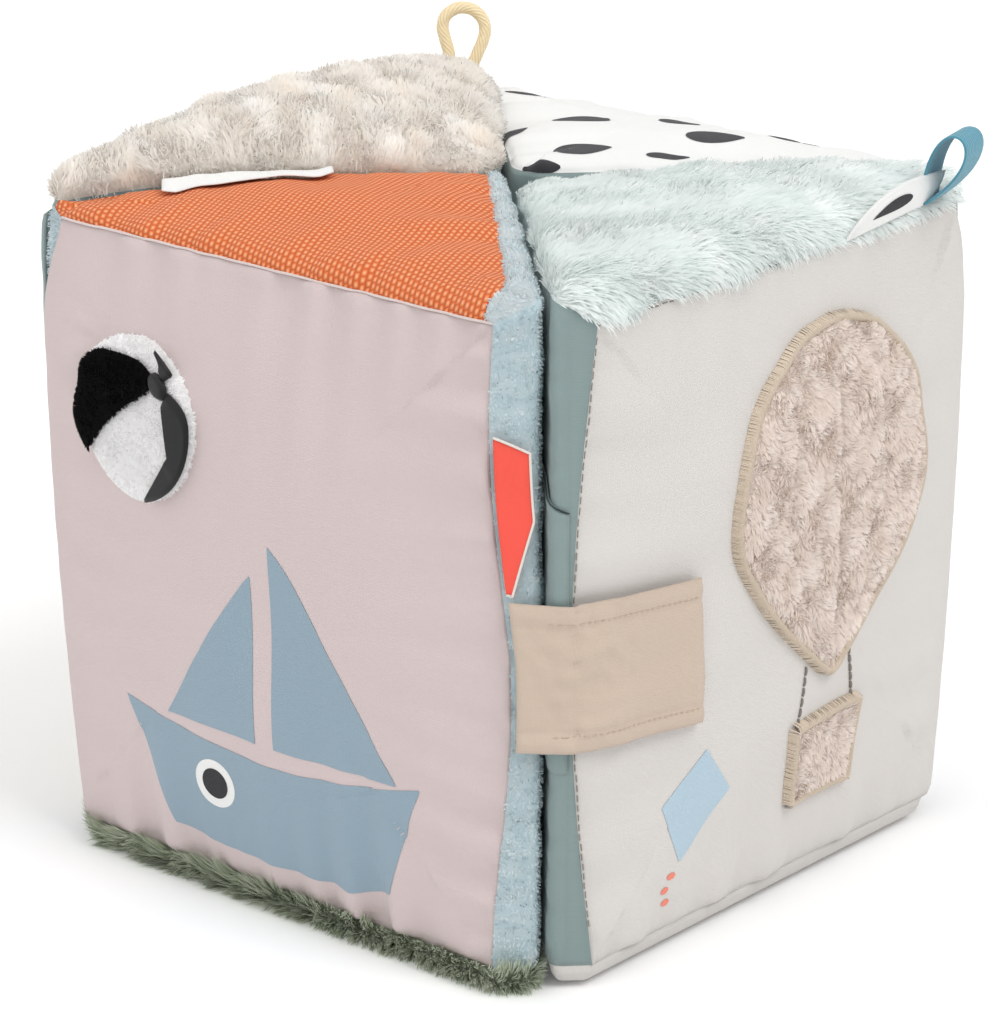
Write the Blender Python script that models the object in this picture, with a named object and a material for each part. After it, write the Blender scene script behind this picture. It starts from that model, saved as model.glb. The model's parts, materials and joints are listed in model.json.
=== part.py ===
"""A soft fold-out activity block: four stuffed wedges, hinged corner to corner and closed by a strap.

Seen from above, the block is a square that its two diagonals cut into four wedges. The pink wedge
faces front left, the mint one front right, the dots one back right and the beige one back left.
Fabric tapes join them at the left, back and right corners. The front corner is open and has a strap.
"""

import math

import bmesh
import bpy
from mathutils import Vector

ROOT_TWO = math.sqrt(2)
EIGHTH_TURN = math.pi / 4
MITRE = math.tan(math.pi / 8)

# The square that the wedges fill, and the heights of the seams above what the block stands on
BLOCK_SIDE = 0.200
SEAM_HEIGHT = 0.184
FOOT_HEIGHT = 0.007
TOP_SEAM = FOOT_HEIGHT + SEAM_HEIGHT

# The cut across each corner of the square, measured along a face
CORNER_CUT = 0.019

# At the open front corner, stuffing narrows the cut at mid height, and the pink one flares above
FREE_CUT_PINK = 0.0125
FREE_CUT_MINT = 0.0085
FREE_FLARE_PINK = 0.0025
FREE_SHARPNESS_PINK = 2.5
FREE_LOWERING_PINK = 0.82

# How far each corner is drawn in at the bottom, and how far all are at the top
CORNER_DRAW = {"left": 0.006, "back": 0.005, "right": 0.005, "front": 0.003}
TOP_DRAW = 0.001
CORNER_NOSE = {"left": 0.0028, "back": 0.0, "right": 0.0, "front": 0.0}
DRAW_START_SHARE = 0.85
TOP_DRAW_START_SHARE = 0.90

# The stuffing's swell under the faces and tops
FACE_CROWN = 0.006
TOP_CROWN = 0.0025
BEIGE_TOP_CROWN = 0.0045
CROWN_POWER = 2.5

# The top seams over the inner walls stand higher than those over the faces, by the shares of the
# whole rise that each corner still has
WALL_RISE = 0.0065
RIDGE_SHARES = {"left": 0.15, "back": 0.10, "right": 0.70, "front": 1.0}
RIDGE_POWER = 4

# Gaps: between two wedges' walls, along a sewn edge, and between layers that touch
WALL_GAP = 0.0024
SEAM_GAP = 0.0006
LAYER_GAP = 0.0003

COVER_THICKNESS = 0.0025
APEX_RADIUS = 0.010
MINT_PILE = 0.0045
BEIGE_PILE = 0.0075
FUR_TOP_SKIRT_SHARE = 0.95
FUR_FOOT_SKIRT_SHARE = 0.96
PLAIN_FOOT_SKIRT_SHARE = 0.86
CORE_FOOT_SHARE = 0.72
CORE_TOP_SHARES = (0.93, 0.72, 0.40)

# The tapes that hinge the wedges
TAPE_THICKNESS = 0.001
TAPE_LEAF = 0.0112
TAPE_END_MARGIN = 0.004

# The strap, its two closing patches, and the pocket on the mint wedge's wall
STRAP_WIDTH = 0.0418
STRAP_BELOW_SEAM = 0.0955
STRAP_CENTRE_HEIGHT = TOP_SEAM - STRAP_BELOW_SEAM
STRAP_DROP = 0.004
STRAP_THICKNESS = 0.0015
STRAP_REACH = 0.0470
STRAP_ROOT_INSET = 0.0008
PATCH_THICKNESS = 0.0006
PATCH_LENGTH = 0.024
PATCH_WIDTH = 0.034
PATCH_END_MARGIN = 0.005
POCKET_BELOW_SEAM = 0.048
POCKET_HEIGHT = 0.077
POCKET_TOP = TOP_SEAM - POCKET_BELOW_SEAM
POCKET_BOTTOM = POCKET_TOP - POCKET_HEIGHT
POCKET_REACH = 0.070
POCKET_THICKNESS = 0.0007

# The pennant tag beside the strap
CORAL_BELOW_SEAM = 0.0305
CORAL_TOP = TOP_SEAM - CORAL_BELOW_SEAM
CORAL_HEIGHT = 0.0425
CORAL_BOTTOM = CORAL_TOP - CORAL_HEIGHT
CORAL_SHOULDER_SHARE = 0.47
CORAL_TOP_SLANT = 0.004
CORAL_REACH = 0.0095
CORAL_TIP = 0.0016
CORAL_THICKNESS = 0.0006
CORAL_LIFT = 0.0014

# The woven label, sewn in beside the beige fur and lying over the edge of the orange top
LABEL_LENGTH = 0.048
LABEL_WIDTH = 0.012
LABEL_CENTRE = 0.074
LABEL_THICKNESS = 0.0006
LABEL_INSET = 0.0008
LABEL_CURL = 0.0012

# The leaf-shaped tag and the ribbon loop in the mint top's front seam
LEAF_START = 0.025
LEAF_END = 0.059
LEAF_TIP = 0.0625
LEAF_TIP_HEIGHT = 0.010
LEAF_BULGE = 0.0052
LEAF_RISE_SHARE = 0.8
LEAF_THICKNESS = 0.0008
LEAF_LEAN = math.radians(6)
RIBBON_CENTRE = 0.0695
RIBBON_CLEAR = 0.0021
RIBBON_WIDTH = 0.012
RIBBON_LENGTH = 0.021
RIBBON_OPEN = 0.0105
RIBBON_THICKNESS = 0.0007
RIBBON_LEAN = math.radians(62)
RIBBON_TURN = math.radians(32)
RIBBON_FIRST_ANGLE = 0.45
TEARDROP_FULLNESS = 0.77

# The rope loop at the back corner
ROPE_DIAMETER = 0.0038
ROPE_POINTS = [
    (-0.0084, 0.1215, 0.1997),
    (-0.0088, 0.1222, 0.2042),
    (-0.0099, 0.1231, 0.2083),
    (-0.0105, 0.1239, 0.2118),
    (-0.0094, 0.1245, 0.2149),
    (-0.0064, 0.1249, 0.2169),
    (-0.0029, 0.1249, 0.2171),
    (0.0004, 0.1245, 0.2155),
    (0.0024, 0.1239, 0.2124),
    (0.0024, 0.1231, 0.2088),
    (0.0007, 0.1222, 0.2046),
    (-0.0016, 0.1215, 0.1997),
]
ROPE_STEPS = 3

# The ball applique on the pink face, drawn as a ball seen with its cap turned towards the upper right
BALL_CENTRE_ALONG = -0.0492
BALL_BELOW_SEAM = 0.0510
BALL_CENTRE_HEIGHT = TOP_SEAM - BALL_BELOW_SEAM
BALL_RADIUS = 0.0235
BALL_CAP_TILT = math.radians(42)
BALL_CAP_TURN = math.radians(45)
BALL_BASE_THICKNESS = 0.0012
BALL_PANEL_THICKNESS = 0.0010
BALL_HUB_THICKNESS = 0.0012
BALL_PANEL_MARGIN = math.radians(2)
BALL_HUB_FALL = math.radians(10.5)
BALL_PANELS = {
    "ball_plush_panel": (math.radians(12), math.radians(77)),
    "ball_satin_panel_upper": (math.radians(266), math.radians(300)),
    "ball_satin_panel_lower": (math.radians(157), math.radians(222)),
}
BALL_SEGMENTS = 8
BALL_PANEL_STEPS = 6

# The balloon applique on the mint wedge's face
BALLOON_CENTRE_ALONG = 0.016
BALLOON_BELOW_SEAM = 0.0715
BALLOON_CENTRE_HEIGHT = TOP_SEAM - BALLOON_BELOW_SEAM
BALLOON_WIDTH = 0.090
BALLOON_HEIGHT = 0.104
BALLOON_NECK_SHARE = 0.30
BALLOON_THICKNESS = 0.0025
BASKET_WIDTH = 0.034
BASKET_HEIGHT = 0.024
BASKET_BELOW_SEAM = 0.136
BASKET_TOP = TOP_SEAM - BASKET_BELOW_SEAM
BASKET_TAPER_SHARE = 0.84
BASKET_THICKNESS = 0.0020

FACE_COLUMNS = 8
LEVEL_SHARES = (0.0, 0.10, 0.24, 0.40, 0.56, 0.72, 0.87, 1.0)
WALL_STEPS = 3
ARC_ANGLES = (math.radians(135), math.radians(165), math.radians(195), math.radians(225))

# How far the strap stands off the cover, over the two patches that hold it
STRAP_LIFT = 3 * LAYER_GAP + 2 * PATCH_THICKNESS


class Corner:
    """One cut corner of the square: its cut, its swell at mid height and its draw at the bottom."""

    def __init__(self, name, cut_at_middle=CORNER_CUT, sharpness=1.0, lowering=1.0, flare=0.0):
        self.draw = CORNER_DRAW[name]
        self.nose = CORNER_NOSE[name]
        self.ridge_share = RIDGE_SHARES[name]
        self.cut_at_middle = cut_at_middle
        self.sharpness = sharpness
        self.lowering = lowering
        self.flare = flare

    def cut(self, level):
        narrowed = max(0, math.sin(math.pi * level**self.lowering)) ** self.sharpness
        flared = self.flare * max(0, -math.sin(2 * math.pi * level))
        return CORNER_CUT - (CORNER_CUT - self.cut_at_middle) * narrowed + flared

    def radius(self, level):
        """The radius of the edge where the face meets the cut."""
        below = max(0, (DRAW_START_SHARE - level) / DRAW_START_SHARE)
        above = max(0, (level - TOP_DRAW_START_SHARE) / (1 - TOP_DRAW_START_SHARE))
        drawn = self.draw * below**2 + TOP_DRAW * above**2
        return (BLOCK_SIDE - self.cut(level)) / ROOT_TWO - drawn

    def wall_radius(self, level):
        """The radius of the edge where the cut meets the wall, which may stand out as a nose."""
        return self.radius(level) + self.nose * (1 - (1 - level) ** 2)

    def cut_radius(self, level, aside):
        """The radius of the cut some way aside from the corner's diagonal."""
        share = (aside - WALL_GAP / 2) / (self.cut(level) / ROOT_TWO - WALL_GAP / 2)
        return self.wall_radius(level) + (self.radius(level) - self.wall_radius(level)) * share

    def hinge_radius(self):
        """The radius of the line that the outer sides of the two tape leaves meet on."""
        return max(self.cut_radius(level, 0) for level in LEVEL_SHARES) + LAYER_GAP + TAPE_THICKNESS

    def ridge(self, share):
        """The share of the walls' rise, some share of the way along a wall to this corner."""
        return 1 - (1 - self.ridge_share) * share**RIDGE_POWER


class Wedge:
    """One wedge's outline. Its own frame has x out through its face and y along the face.

    The low corner is at the face's negative y end and the high corner at the other end. An inset is
    a distance into the stuffing from the outer skin, and a negative one lies outside the skin.
    """

    def __init__(self, turn, low_corner, high_corner):
        self.turn = math.radians(turn)
        self.corners = {-1: low_corner, 1: high_corner}

    def world(self, x, y, z):
        cos, sin = math.cos(self.turn), math.sin(self.turn)
        return Vector((x * cos - y * sin, x * sin + y * cos, z))

    def direction(self, x, y):
        return self.world(x, y, 0)

    def own(self, place):
        """A place's x and y in the wedge's own frame."""
        cos, sin = math.cos(self.turn), math.sin(self.turn)
        return place.x * cos + place.y * sin, place.y * cos - place.x * sin

    def corner_point(self, side, radius, aside):
        """A point at a radius along a corner's diagonal and some way aside from it, in x and y."""
        return Vector(((radius + aside) / ROOT_TWO, side * (radius - aside) / ROOT_TWO))

    def edge(self, side, level, inset=0.0, pulled=0.0):
        """The edge where the face meets the cut corner, pulled along the cut by a given length."""
        corner = self.corners[side]
        aside = corner.cut(level) / ROOT_TWO - MITRE * inset - pulled
        return self.corner_point(side, corner.radius(level) - inset, aside)

    def wall_edge(self, side, level, inset=0.0):
        """The edge where the cut corner meets the wall."""
        radius = self.corners[side].wall_radius(level) - inset
        return self.corner_point(side, radius, WALL_GAP / 2 + inset)

    def apex(self, inset=0.0):
        """The rounded inner edge's points, from the low wall to the high one."""
        middle = ROOT_TWO * (WALL_GAP / 2 + APEX_RADIUS)
        radius = APEX_RADIUS - inset
        return [
            Vector((middle + radius * math.cos(angle), -radius * math.sin(angle)))
            for angle in ARC_ANGLES
        ]

    def height(self, level, inset=0.0, walled=0.0):
        """The height of a level, over a face where walled is 0 and over a wall where it is 1."""
        return FOOT_HEIGHT + inset + level * (SEAM_HEIGHT + WALL_RISE * walled - 2 * inset)

    def level(self, height, walled=0.0):
        return (height - FOOT_HEIGHT) / (SEAM_HEIGHT + WALL_RISE * walled)

    def face_point(self, across, level, inset=0.0):
        """A point of the face: across runs from -1 to 1 between its two side seams."""
        low, high = self.edge(-1, level, inset), self.edge(1, level, inset)
        point = low.lerp(high, (across + 1) / 2)
        point.x += FACE_CROWN * dome(across) * dome(2 * level - 1)
        return self.world(point.x, point.y, self.height(level, inset))

    def on_face(self, along, height, lift):
        """A point some way along the face from its middle, at a height, lifted off the skin."""
        level = self.level(height)
        low, high = self.edge(-1, level), self.edge(1, level)
        share = (along - low.y) / (high.y - low.y)
        x = low.lerp(high, share).x + FACE_CROWN * dome(2 * share - 1) * dome(2 * level - 1)
        return self.world(x + lift, along, height)

    def cut_point(self, side, height, back, lift=0.0):
        """A point of a cut corner, some way back from its face edge and lifted off the skin."""
        share = back / (CORNER_CUT / ROOT_TWO - WALL_GAP / 2)
        level = self.level(height, share * self.corners[side].ridge_share)
        point = self.edge(side, level).lerp(self.wall_edge(side, level), share)
        return self.world(point.x, point.y, height) + self.direction(1, side).normalized() * lift

    def plan_rows(self, level, inset=0.0):
        """Rows across the wedge's plan, from the apex out to the face.

        Each is its low point and its high point, and how walled each of the two is.
        """
        arc = self.apex(inset)
        low, high = self.wall_edge(-1, level, inset), self.wall_edge(1, level, inset)
        rows = [(arc[1], arc[2], 1, 1)]
        for step in range(WALL_STEPS + 1):
            share = step / WALL_STEPS
            walled = (self.corners[side].ridge(share) for side in (-1, 1))
            rows.append((arc[0].lerp(low, share), arc[3].lerp(high, share), *walled))
        rows.append((self.edge(-1, level, inset), self.edge(1, level, inset), 0, 0))
        return rows

    def wall_path(self, level, inset=0.0, pulled=0.0):
        """The cuts and walls at one level, from the low face edge round the apex to the high one."""
        rows = self.plan_rows(level, inset)[:-1]
        walls = [(low, walled) for low, _, walled, _ in reversed(rows)]
        walls += [(high, walled) for _, high, _, walled in rows]
        ends = [self.edge(side, level, inset, pulled) for side in (-1, 1)]
        path = [(ends[0], 0), *walls, (ends[1], 0)]
        return [self.world(*point, self.height(level, inset, walled)) for point, walled in path]

    def outline(self, level, inset):
        """The whole skin at one level: the face's points, then the high wall, apex and low wall."""
        steps = [2 * column / FACE_COLUMNS - 1 for column in range(FACE_COLUMNS + 1)]
        face = [self.face_point(across, level, inset) for across in steps]
        return face + self.wall_path(level, inset)[-2:0:-1]

    def top(self, place, crown=0.0, inset=0.0):
        """The height of the top over a point inside the walls, as its flat facets run."""
        x, y = place
        rows = self.plan_rows(1, inset)
        lines = [
            low.x + (high.x - low.x) * (y - low.y) / (high.y - low.y) for low, high, *_ in rows
        ]
        band = sum(line < x for line in lines[1:-1])
        inner, outer = rows[band], rows[band + 1]
        share = (x - lines[band]) / (lines[band + 1] - lines[band])
        low, high = inner[0].lerp(outer[0], share), inner[1].lerp(outer[1], share)
        across = (y - low.y) / (high.y - low.y)
        low_walled = inner[2] + (outer[2] - inner[2]) * share
        high_walled = inner[3] + (outer[3] - inner[3]) * share
        walled = low_walled + (high_walled - low_walled) * across
        reach = (x - rows[0][0].x) / (rows[-1][0].x - rows[0][0].x)
        return TOP_SEAM - inset + WALL_RISE * walled + swell(crown, 2 * across - 1, reach)


LEFT = Corner("left")
BACK = Corner("back")
RIGHT = Corner("right")
FRONT_PINK = Corner(
    "front", FREE_CUT_PINK, FREE_SHARPNESS_PINK, FREE_LOWERING_PINK, FREE_FLARE_PINK
)
FRONT_MINT = Corner("front", FREE_CUT_MINT)
PINK = Wedge(225, LEFT, FRONT_PINK)
MINT = Wedge(315, FRONT_MINT, RIGHT)
DOTS = Wedge(45, RIGHT, BACK)
BEIGE = Wedge(135, BACK, LEFT)


def dome(across):
    """The swell of stuffing, from 1 in the middle of a panel to 0 at its seams at -1 and 1."""
    return max(0, 1 - abs(across) ** CROWN_POWER)


def swell(crown, across, reach):
    """The rise of a top's dome over its seams."""
    return crown * dome(across) * dome(2 * reach - 1)


def clear_scene():
    for existing in list(bpy.data.objects):
        bpy.data.objects.remove(existing, do_unlink=True)


def new_collection(name):
    collection = bpy.data.collections.new(name)
    bpy.context.scene.collection.children.link(collection)
    return collection


def material(name, colour, roughness=0.9):
    made = bpy.data.materials.new(name)
    made.use_nodes = True
    shader = made.node_tree.nodes["Principled BSDF"]
    shader.inputs["Base Color"].default_value = (*colour, 1)
    shader.inputs["Roughness"].default_value = roughness
    shader.inputs["Metallic"].default_value = 0
    made.diffuse_color = (*colour, 1)
    return made


def add_pivot(block, name, place, parent=None):
    """An empty on a joint's axis. What hangs on it keeps its own place in the world."""
    pivot = bpy.data.objects.new(name, None)
    pivot.empty_display_size = BLOCK_SIDE / 10
    block.objects.link(pivot)
    pivot["place"] = tuple(place)
    pivot.parent = parent
    pivot.location = place - (Vector(parent["place"]) if parent else Vector())
    return pivot


def add_object(block, name, data, pivot, finish):
    made = bpy.data.objects.new(name, data)
    block.objects.link(made)
    made.parent = pivot
    data.materials.append(finish)
    return made


def close_mesh(bm, name, pivot):
    """The finished mesh, with its faces turned out and its points measured from its pivot."""
    bmesh.ops.recalc_face_normals(bm, faces=bm.faces[:])
    if bm.calc_volume(signed=True) < 0:
        bmesh.ops.reverse_faces(bm, faces=bm.faces[:])
    bmesh.ops.translate(bm, verts=bm.verts[:], vec=-Vector(pivot["place"]))
    mesh = bpy.data.meshes.new(name)
    bm.to_mesh(mesh)
    bm.free()
    mesh.shade_smooth()
    mesh.set_sharp_from_angle(angle=EIGHTH_TURN)
    return mesh


def new_points(made):
    """The points among what a modelling step made."""
    return [item for item in made["geom"] if isinstance(item, bmesh.types.BMVert)]


def slab(block, name, columns, rows, place, pivot, finish, skirt=False):
    """A closed sheet: place gives a point for each column, row, layer and, with a skirt, ring.

    Layer 0 is the outer side and layer 1 the inner one. A skirt adds one more ring of faces round
    the sheet's border: ring 1 is the border that the skirt runs out to.
    """
    bm = bmesh.new()
    bmesh.ops.create_grid(bm, x_segments=columns, y_segments=rows, size=1)
    for vert in bm.verts:
        vert.co.x = round((vert.co.x + 1) / 2 * columns)
        vert.co.y = round((vert.co.y + 1) / 2 * rows)
    if skirt:
        border = [edge for edge in bm.edges if edge.is_boundary]
        for vert in new_points(bmesh.ops.extrude_edge_only(bm, edges=border)):
            vert.co.z = 1
    sheet = bm.faces[:]
    inner = set(new_points(bmesh.ops.extrude_face_region(bm, geom=sheet, use_keep_orig=True)))
    for vert in bm.verts:
        column, row, ring = (round(number) for number in vert.co)
        vert.co = place(column, row, int(vert in inner), ring)
    return add_object(block, name, close_mesh(bm, name, pivot), pivot, finish)


def face_panel(block, name, wedge, pivot, finish):
    """The outer face: a crowned sheet with mitred edges and a narrow gap along its seams."""
    last = len(LEVEL_SHARES) - 1
    seam_share = SEAM_GAP / SEAM_HEIGHT / 2

    def place(column, row, layer, ring):
        level = seam_share + (1 - 2 * seam_share) * LEVEL_SHARES[row]
        width = (wedge.edge(1, level).y - wedge.edge(-1, level).y) / 2
        across = (2 * column / FACE_COLUMNS - 1) * (1 - SEAM_GAP / 2 / width)
        return wedge.face_point(across, level, COVER_THICKNESS * layer)

    return slab(block, name, FACE_COLUMNS, last, place, pivot, finish)


def wall_panel(block, name, wedge, pivot, finish):
    """The inner wall: one strip over both cuts and both walls, and round the apex."""
    last = len(LEVEL_SHARES) - 1
    seam_share = SEAM_GAP / SEAM_HEIGHT / 2
    corners = len(wedge.wall_path(0)) - 1

    def place(column, row, layer, ring):
        level = seam_share + (1 - 4 * seam_share) * LEVEL_SHARES[row]
        return wedge.wall_path(level, COVER_THICKNESS * layer, SEAM_GAP / 2)[column]

    return slab(block, name, corners, last, place, pivot, finish)


def middle_of(rows):
    points = [point for row in rows for point in row[:2]]
    return sum(points, Vector((0, 0))) / len(points)


def top_panel(block, name, wedge, pivot, finish, crown=TOP_CROWN, pile=0.0):
    """The top: a domed sheet, with a fur top's pile standing over its seams."""
    last = len(wedge.plan_rows(1)) - 1

    def place(column, row, layer, ring):
        inset = COVER_THICKNESS * layer + SEAM_GAP / 2
        rows = wedge.plan_rows(1, inset)
        point = rows[row][0].lerp(rows[row][1], column / FACE_COLUMNS)
        standing = 0
        if pile and ring == 0:
            point = middle_of(rows).lerp(point, FUR_TOP_SKIRT_SHARE)
            standing = pile * (1 - layer)
        height = wedge.top(point, crown, inset) + SEAM_GAP / 2 + standing
        return wedge.world(point.x, point.y, height)

    return slab(block, name, FACE_COLUMNS, last, place, pivot, finish, skirt=pile > 0)


def bottom_panel(block, name, wedge, pivot, finish, skirt_share=PLAIN_FOOT_SKIRT_SHARE):
    """The underside: flat where the block stands, with a skirt up to its seams."""
    last = len(wedge.plan_rows(0)) - 1

    def place(column, row, layer, ring):
        inset = COVER_THICKNESS * layer
        rows = wedge.plan_rows(0, inset + SEAM_GAP / 2)
        point = rows[row][0].lerp(rows[row][1], column / (FACE_COLUMNS / 2))
        if ring == 0:
            point = middle_of(rows).lerp(point, skirt_share)
        return wedge.world(point.x, point.y, inset + FOOT_HEIGHT * ring)

    return slab(block, name, FACE_COLUMNS // 2, last, place, pivot, finish, skirt=True)


def foam_core(block, name, wedge, pivot, finish):
    """The stuffing: one closed body that fills the cover, with drawn-in ends."""
    inset = COVER_THICKNESS + 2 * LAYER_GAP
    bm = bmesh.new()
    rings = [wedge.outline(level, inset) for level in LEVEL_SHARES]
    foot = wedge.world(*middle_of(wedge.plan_rows(0, inset)), inset)
    head = wedge.world(*middle_of(wedge.plan_rows(1, inset)), 0)
    bottom = [foot.lerp(point, CORE_FOOT_SHARE) for point in rings[0]]
    for drawn in bottom:
        drawn.z = inset
    tops = []
    for outward in CORE_TOP_SHARES:
        drawn_in = [head.lerp(point, outward) for point in rings[-1]]
        for drawn in drawn_in:
            drawn.z = wedge.top(wedge.own(drawn), inset=inset) - 6 * LAYER_GAP
        tops.append(drawn_in)
    loops = [[bm.verts.new(point) for point in ring] for ring in (bottom, *rings, *tops)]
    for lower, upper in zip(loops, loops[1:]):
        for here, there in zip(range(len(lower)), [*range(1, len(lower)), 0]):
            bm.faces.new([lower[here], lower[there], upper[there], upper[here]])
    for cap in (loops[0], loops[-1]):
        bm.faces.new(cap)
    return add_object(block, name, close_mesh(bm, name, pivot), pivot, finish)


def tape_leaf(block, name, wedge, side, pivot, finish):
    """Half of a hinge tape, on the cut of one wedge. Its outer side passes through the hinge's axis."""
    last = len(LEVEL_SHARES) - 1
    margin_share = TAPE_END_MARGIN / SEAM_HEIGHT

    def place(column, row, layer, ring):
        level = margin_share + (1 - 2 * margin_share) * LEVEL_SHARES[row]
        aside = LAYER_GAP + TAPE_LEAF * column
        radius = wedge.corners[side].cut_radius(level, aside)
        radius += LAYER_GAP + TAPE_THICKNESS * (1 - layer)
        point = wedge.corner_point(side, radius, aside)
        walled = wedge.corners[side].ridge_share * (1 - column)
        return wedge.world(point.x, point.y, wedge.height(level, 0, walled))

    return slab(block, name, 1, last, place, pivot, finish)


def strap_stations(height):
    """Where the strap runs at one height: pairs of a point on the skin and the way out from it."""
    out_of_corner = PINK.direction(1, 1).normalized()
    out_of_face = MINT.direction(1, 0)
    bend = (out_of_corner + out_of_face) / (1 + out_of_corner.dot(out_of_face))
    walled = MINT.wall_edge(-1, MINT.level(height, FRONT_MINT.ridge_share))
    turn = MINT.edge(-1, MINT.level(height))
    stations = [
        (PINK.cut_point(1, height, STRAP_ROOT_INSET), out_of_corner),
        (MINT.world(walled.x, walled.y, height), out_of_corner),
        (MINT.world(turn.x, turn.y, height), bend),
    ]
    for step in range(1, FACE_COLUMNS + 1):
        share = step / FACE_COLUMNS
        point = MINT.on_face(turn.y + STRAP_REACH * share, height - STRAP_DROP * share, 0)
        stations.append((point, out_of_face))
    return stations


def strap(block, pivot, finish):
    """The closing strap: sewn at the pink wedge's front seam and laid along the mint wedge's face."""
    rows = 4
    columns = len(strap_stations(STRAP_CENTRE_HEIGHT)) - 1

    def place(column, row, layer, ring):
        height = STRAP_CENTRE_HEIGHT + STRAP_WIDTH * (row / rows - 1 / 2)
        point, way_out = strap_stations(height)[column]
        return point + way_out * (STRAP_LIFT + STRAP_THICKNESS * (1 - layer))

    return slab(block, "strap", columns, rows, place, pivot, finish)


def closing_patch(block, name, lift, pivot, finish):
    """One half of the strap's touch fastener, between the strap's end and the mint face."""
    steps = 3
    strap_end = MINT.edge(-1, 1 / 2).y + STRAP_REACH - PATCH_END_MARGIN
    centre_height = STRAP_CENTRE_HEIGHT - STRAP_DROP

    def place(column, row, layer, ring):
        along = strap_end - PATCH_LENGTH * (1 - column / steps)
        height = centre_height + PATCH_WIDTH * (row / steps - 1 / 2)
        return MINT.on_face(along, height, lift + PATCH_THICKNESS * (1 - layer))

    return slab(block, name, steps, steps, place, pivot, finish)


def wall_pocket(block, pivot, finish):
    """The pocket on the mint wedge's front wall, which wraps on to the cut corner."""
    rows = 4
    columns = 4

    def place(column, row, layer, ring):
        height = POCKET_BOTTOM + (POCKET_TOP - POCKET_BOTTOM) * row / rows
        inset = -(LAYER_GAP + POCKET_THICKNESS * (1 - layer))
        if column == 0:
            point = MINT.edge(-1, MINT.level(height), inset, SEAM_GAP)
        else:
            level = MINT.level(height, FRONT_MINT.ridge_share)
            radius = FRONT_MINT.wall_radius(level) - inset
            back = POCKET_REACH * (column - 1) / (columns - 1)
            point = MINT.corner_point(-1, radius - back, WALL_GAP / 2 + inset)
        return MINT.world(point.x, point.y, height)

    return slab(block, "mint_wall_pocket", columns, rows, place, pivot, finish)


def coral_tag(block, pivot, finish):
    """The pennant tag, sewn along the pink wedge's front seam and lying over the plush cut."""
    rows = 6
    columns = 3

    def place(column, row, layer, ring):
        out = column / columns
        top = CORAL_TOP - CORAL_TOP_SLANT * out
        height = CORAL_BOTTOM + (top - CORAL_BOTTOM) * row / rows
        taper = min(1, (height - CORAL_BOTTOM) / (CORAL_HEIGHT * CORAL_SHOULDER_SHARE))
        reach = CORAL_TIP + (CORAL_REACH - CORAL_TIP) * taper
        lift = LAYER_GAP + CORAL_LIFT * out**2 + CORAL_THICKNESS * (1 - layer)
        return PINK.cut_point(1, height, SEAM_GAP + reach * out, lift)

    return slab(block, "coral_tag", columns, rows, place, pivot, finish)


def label_point(along, back, lift):
    """A point over the orange top, along the seam beside the beige fur and back from it."""
    aside = WALL_GAP / 2 + LABEL_INSET + back
    point = PINK.corner_point(-1, LABEL_CENTRE + along, aside)
    height = PINK.top(point, TOP_CROWN) + 2 * LAYER_GAP + lift
    return PINK.world(point.x, point.y, height)


def woven_label(block, pivot, finish):
    """The bare woven label, lying over the orange top with its free edge a little raised."""
    columns = 6
    rows = 3

    def place(column, row, layer, ring):
        along = LABEL_LENGTH * (column / columns - 1 / 2)
        out = row / rows
        lift = LABEL_CURL * out**2 + LABEL_THICKNESS * (1 - layer)
        return label_point(along, LABEL_WIDTH * out, lift)

    return slab(block, "top_label", columns, rows, place, pivot, finish)


def leaf_tag(block, pivot, finish):
    """The leaf-shaped tag, sewn along the mint top's front seam and rising to a rounded tip."""
    columns = 6
    rows = 4
    out, along = MINT.direction(1, 0), MINT.direction(0, 1)
    top_edge = MINT.edge(1, 1).x

    def place(column, row, layer, ring):
        across = column / columns
        up = row / rows
        swell = across**LEAF_RISE_SHARE
        height = (LEAF_TIP_HEIGHT * swell + LEAF_BULGE * math.sin(math.pi * swell)) * up
        start = LEAF_START + (LEAF_END - LEAF_START) * across
        shifted = start + (LEAF_TIP - LEAF_END) * across * up
        lean = height * math.sin(LEAF_LEAN) + LEAF_THICKNESS * (1 - layer)
        root = MINT.world(top_edge, 0, TOP_SEAM + LAYER_GAP)
        return root + along * shifted + out * lean + Vector((0, 0, height))

    return slab(block, "drop_tag", columns, rows, place, pivot, finish)


def ribbon_frame():
    """The ribbon loop's root, its way out, and the way its ribbon's width runs."""
    root = MINT.world(MINT.edge(1, 1).x + RIBBON_CLEAR, RIBBON_CENTRE, TOP_SEAM)
    width_way = Vector((math.sin(RIBBON_TURN), math.cos(RIBBON_TURN), 0))
    out = Vector((width_way.y, -width_way.x, 0))
    return root, out, width_way


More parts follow.
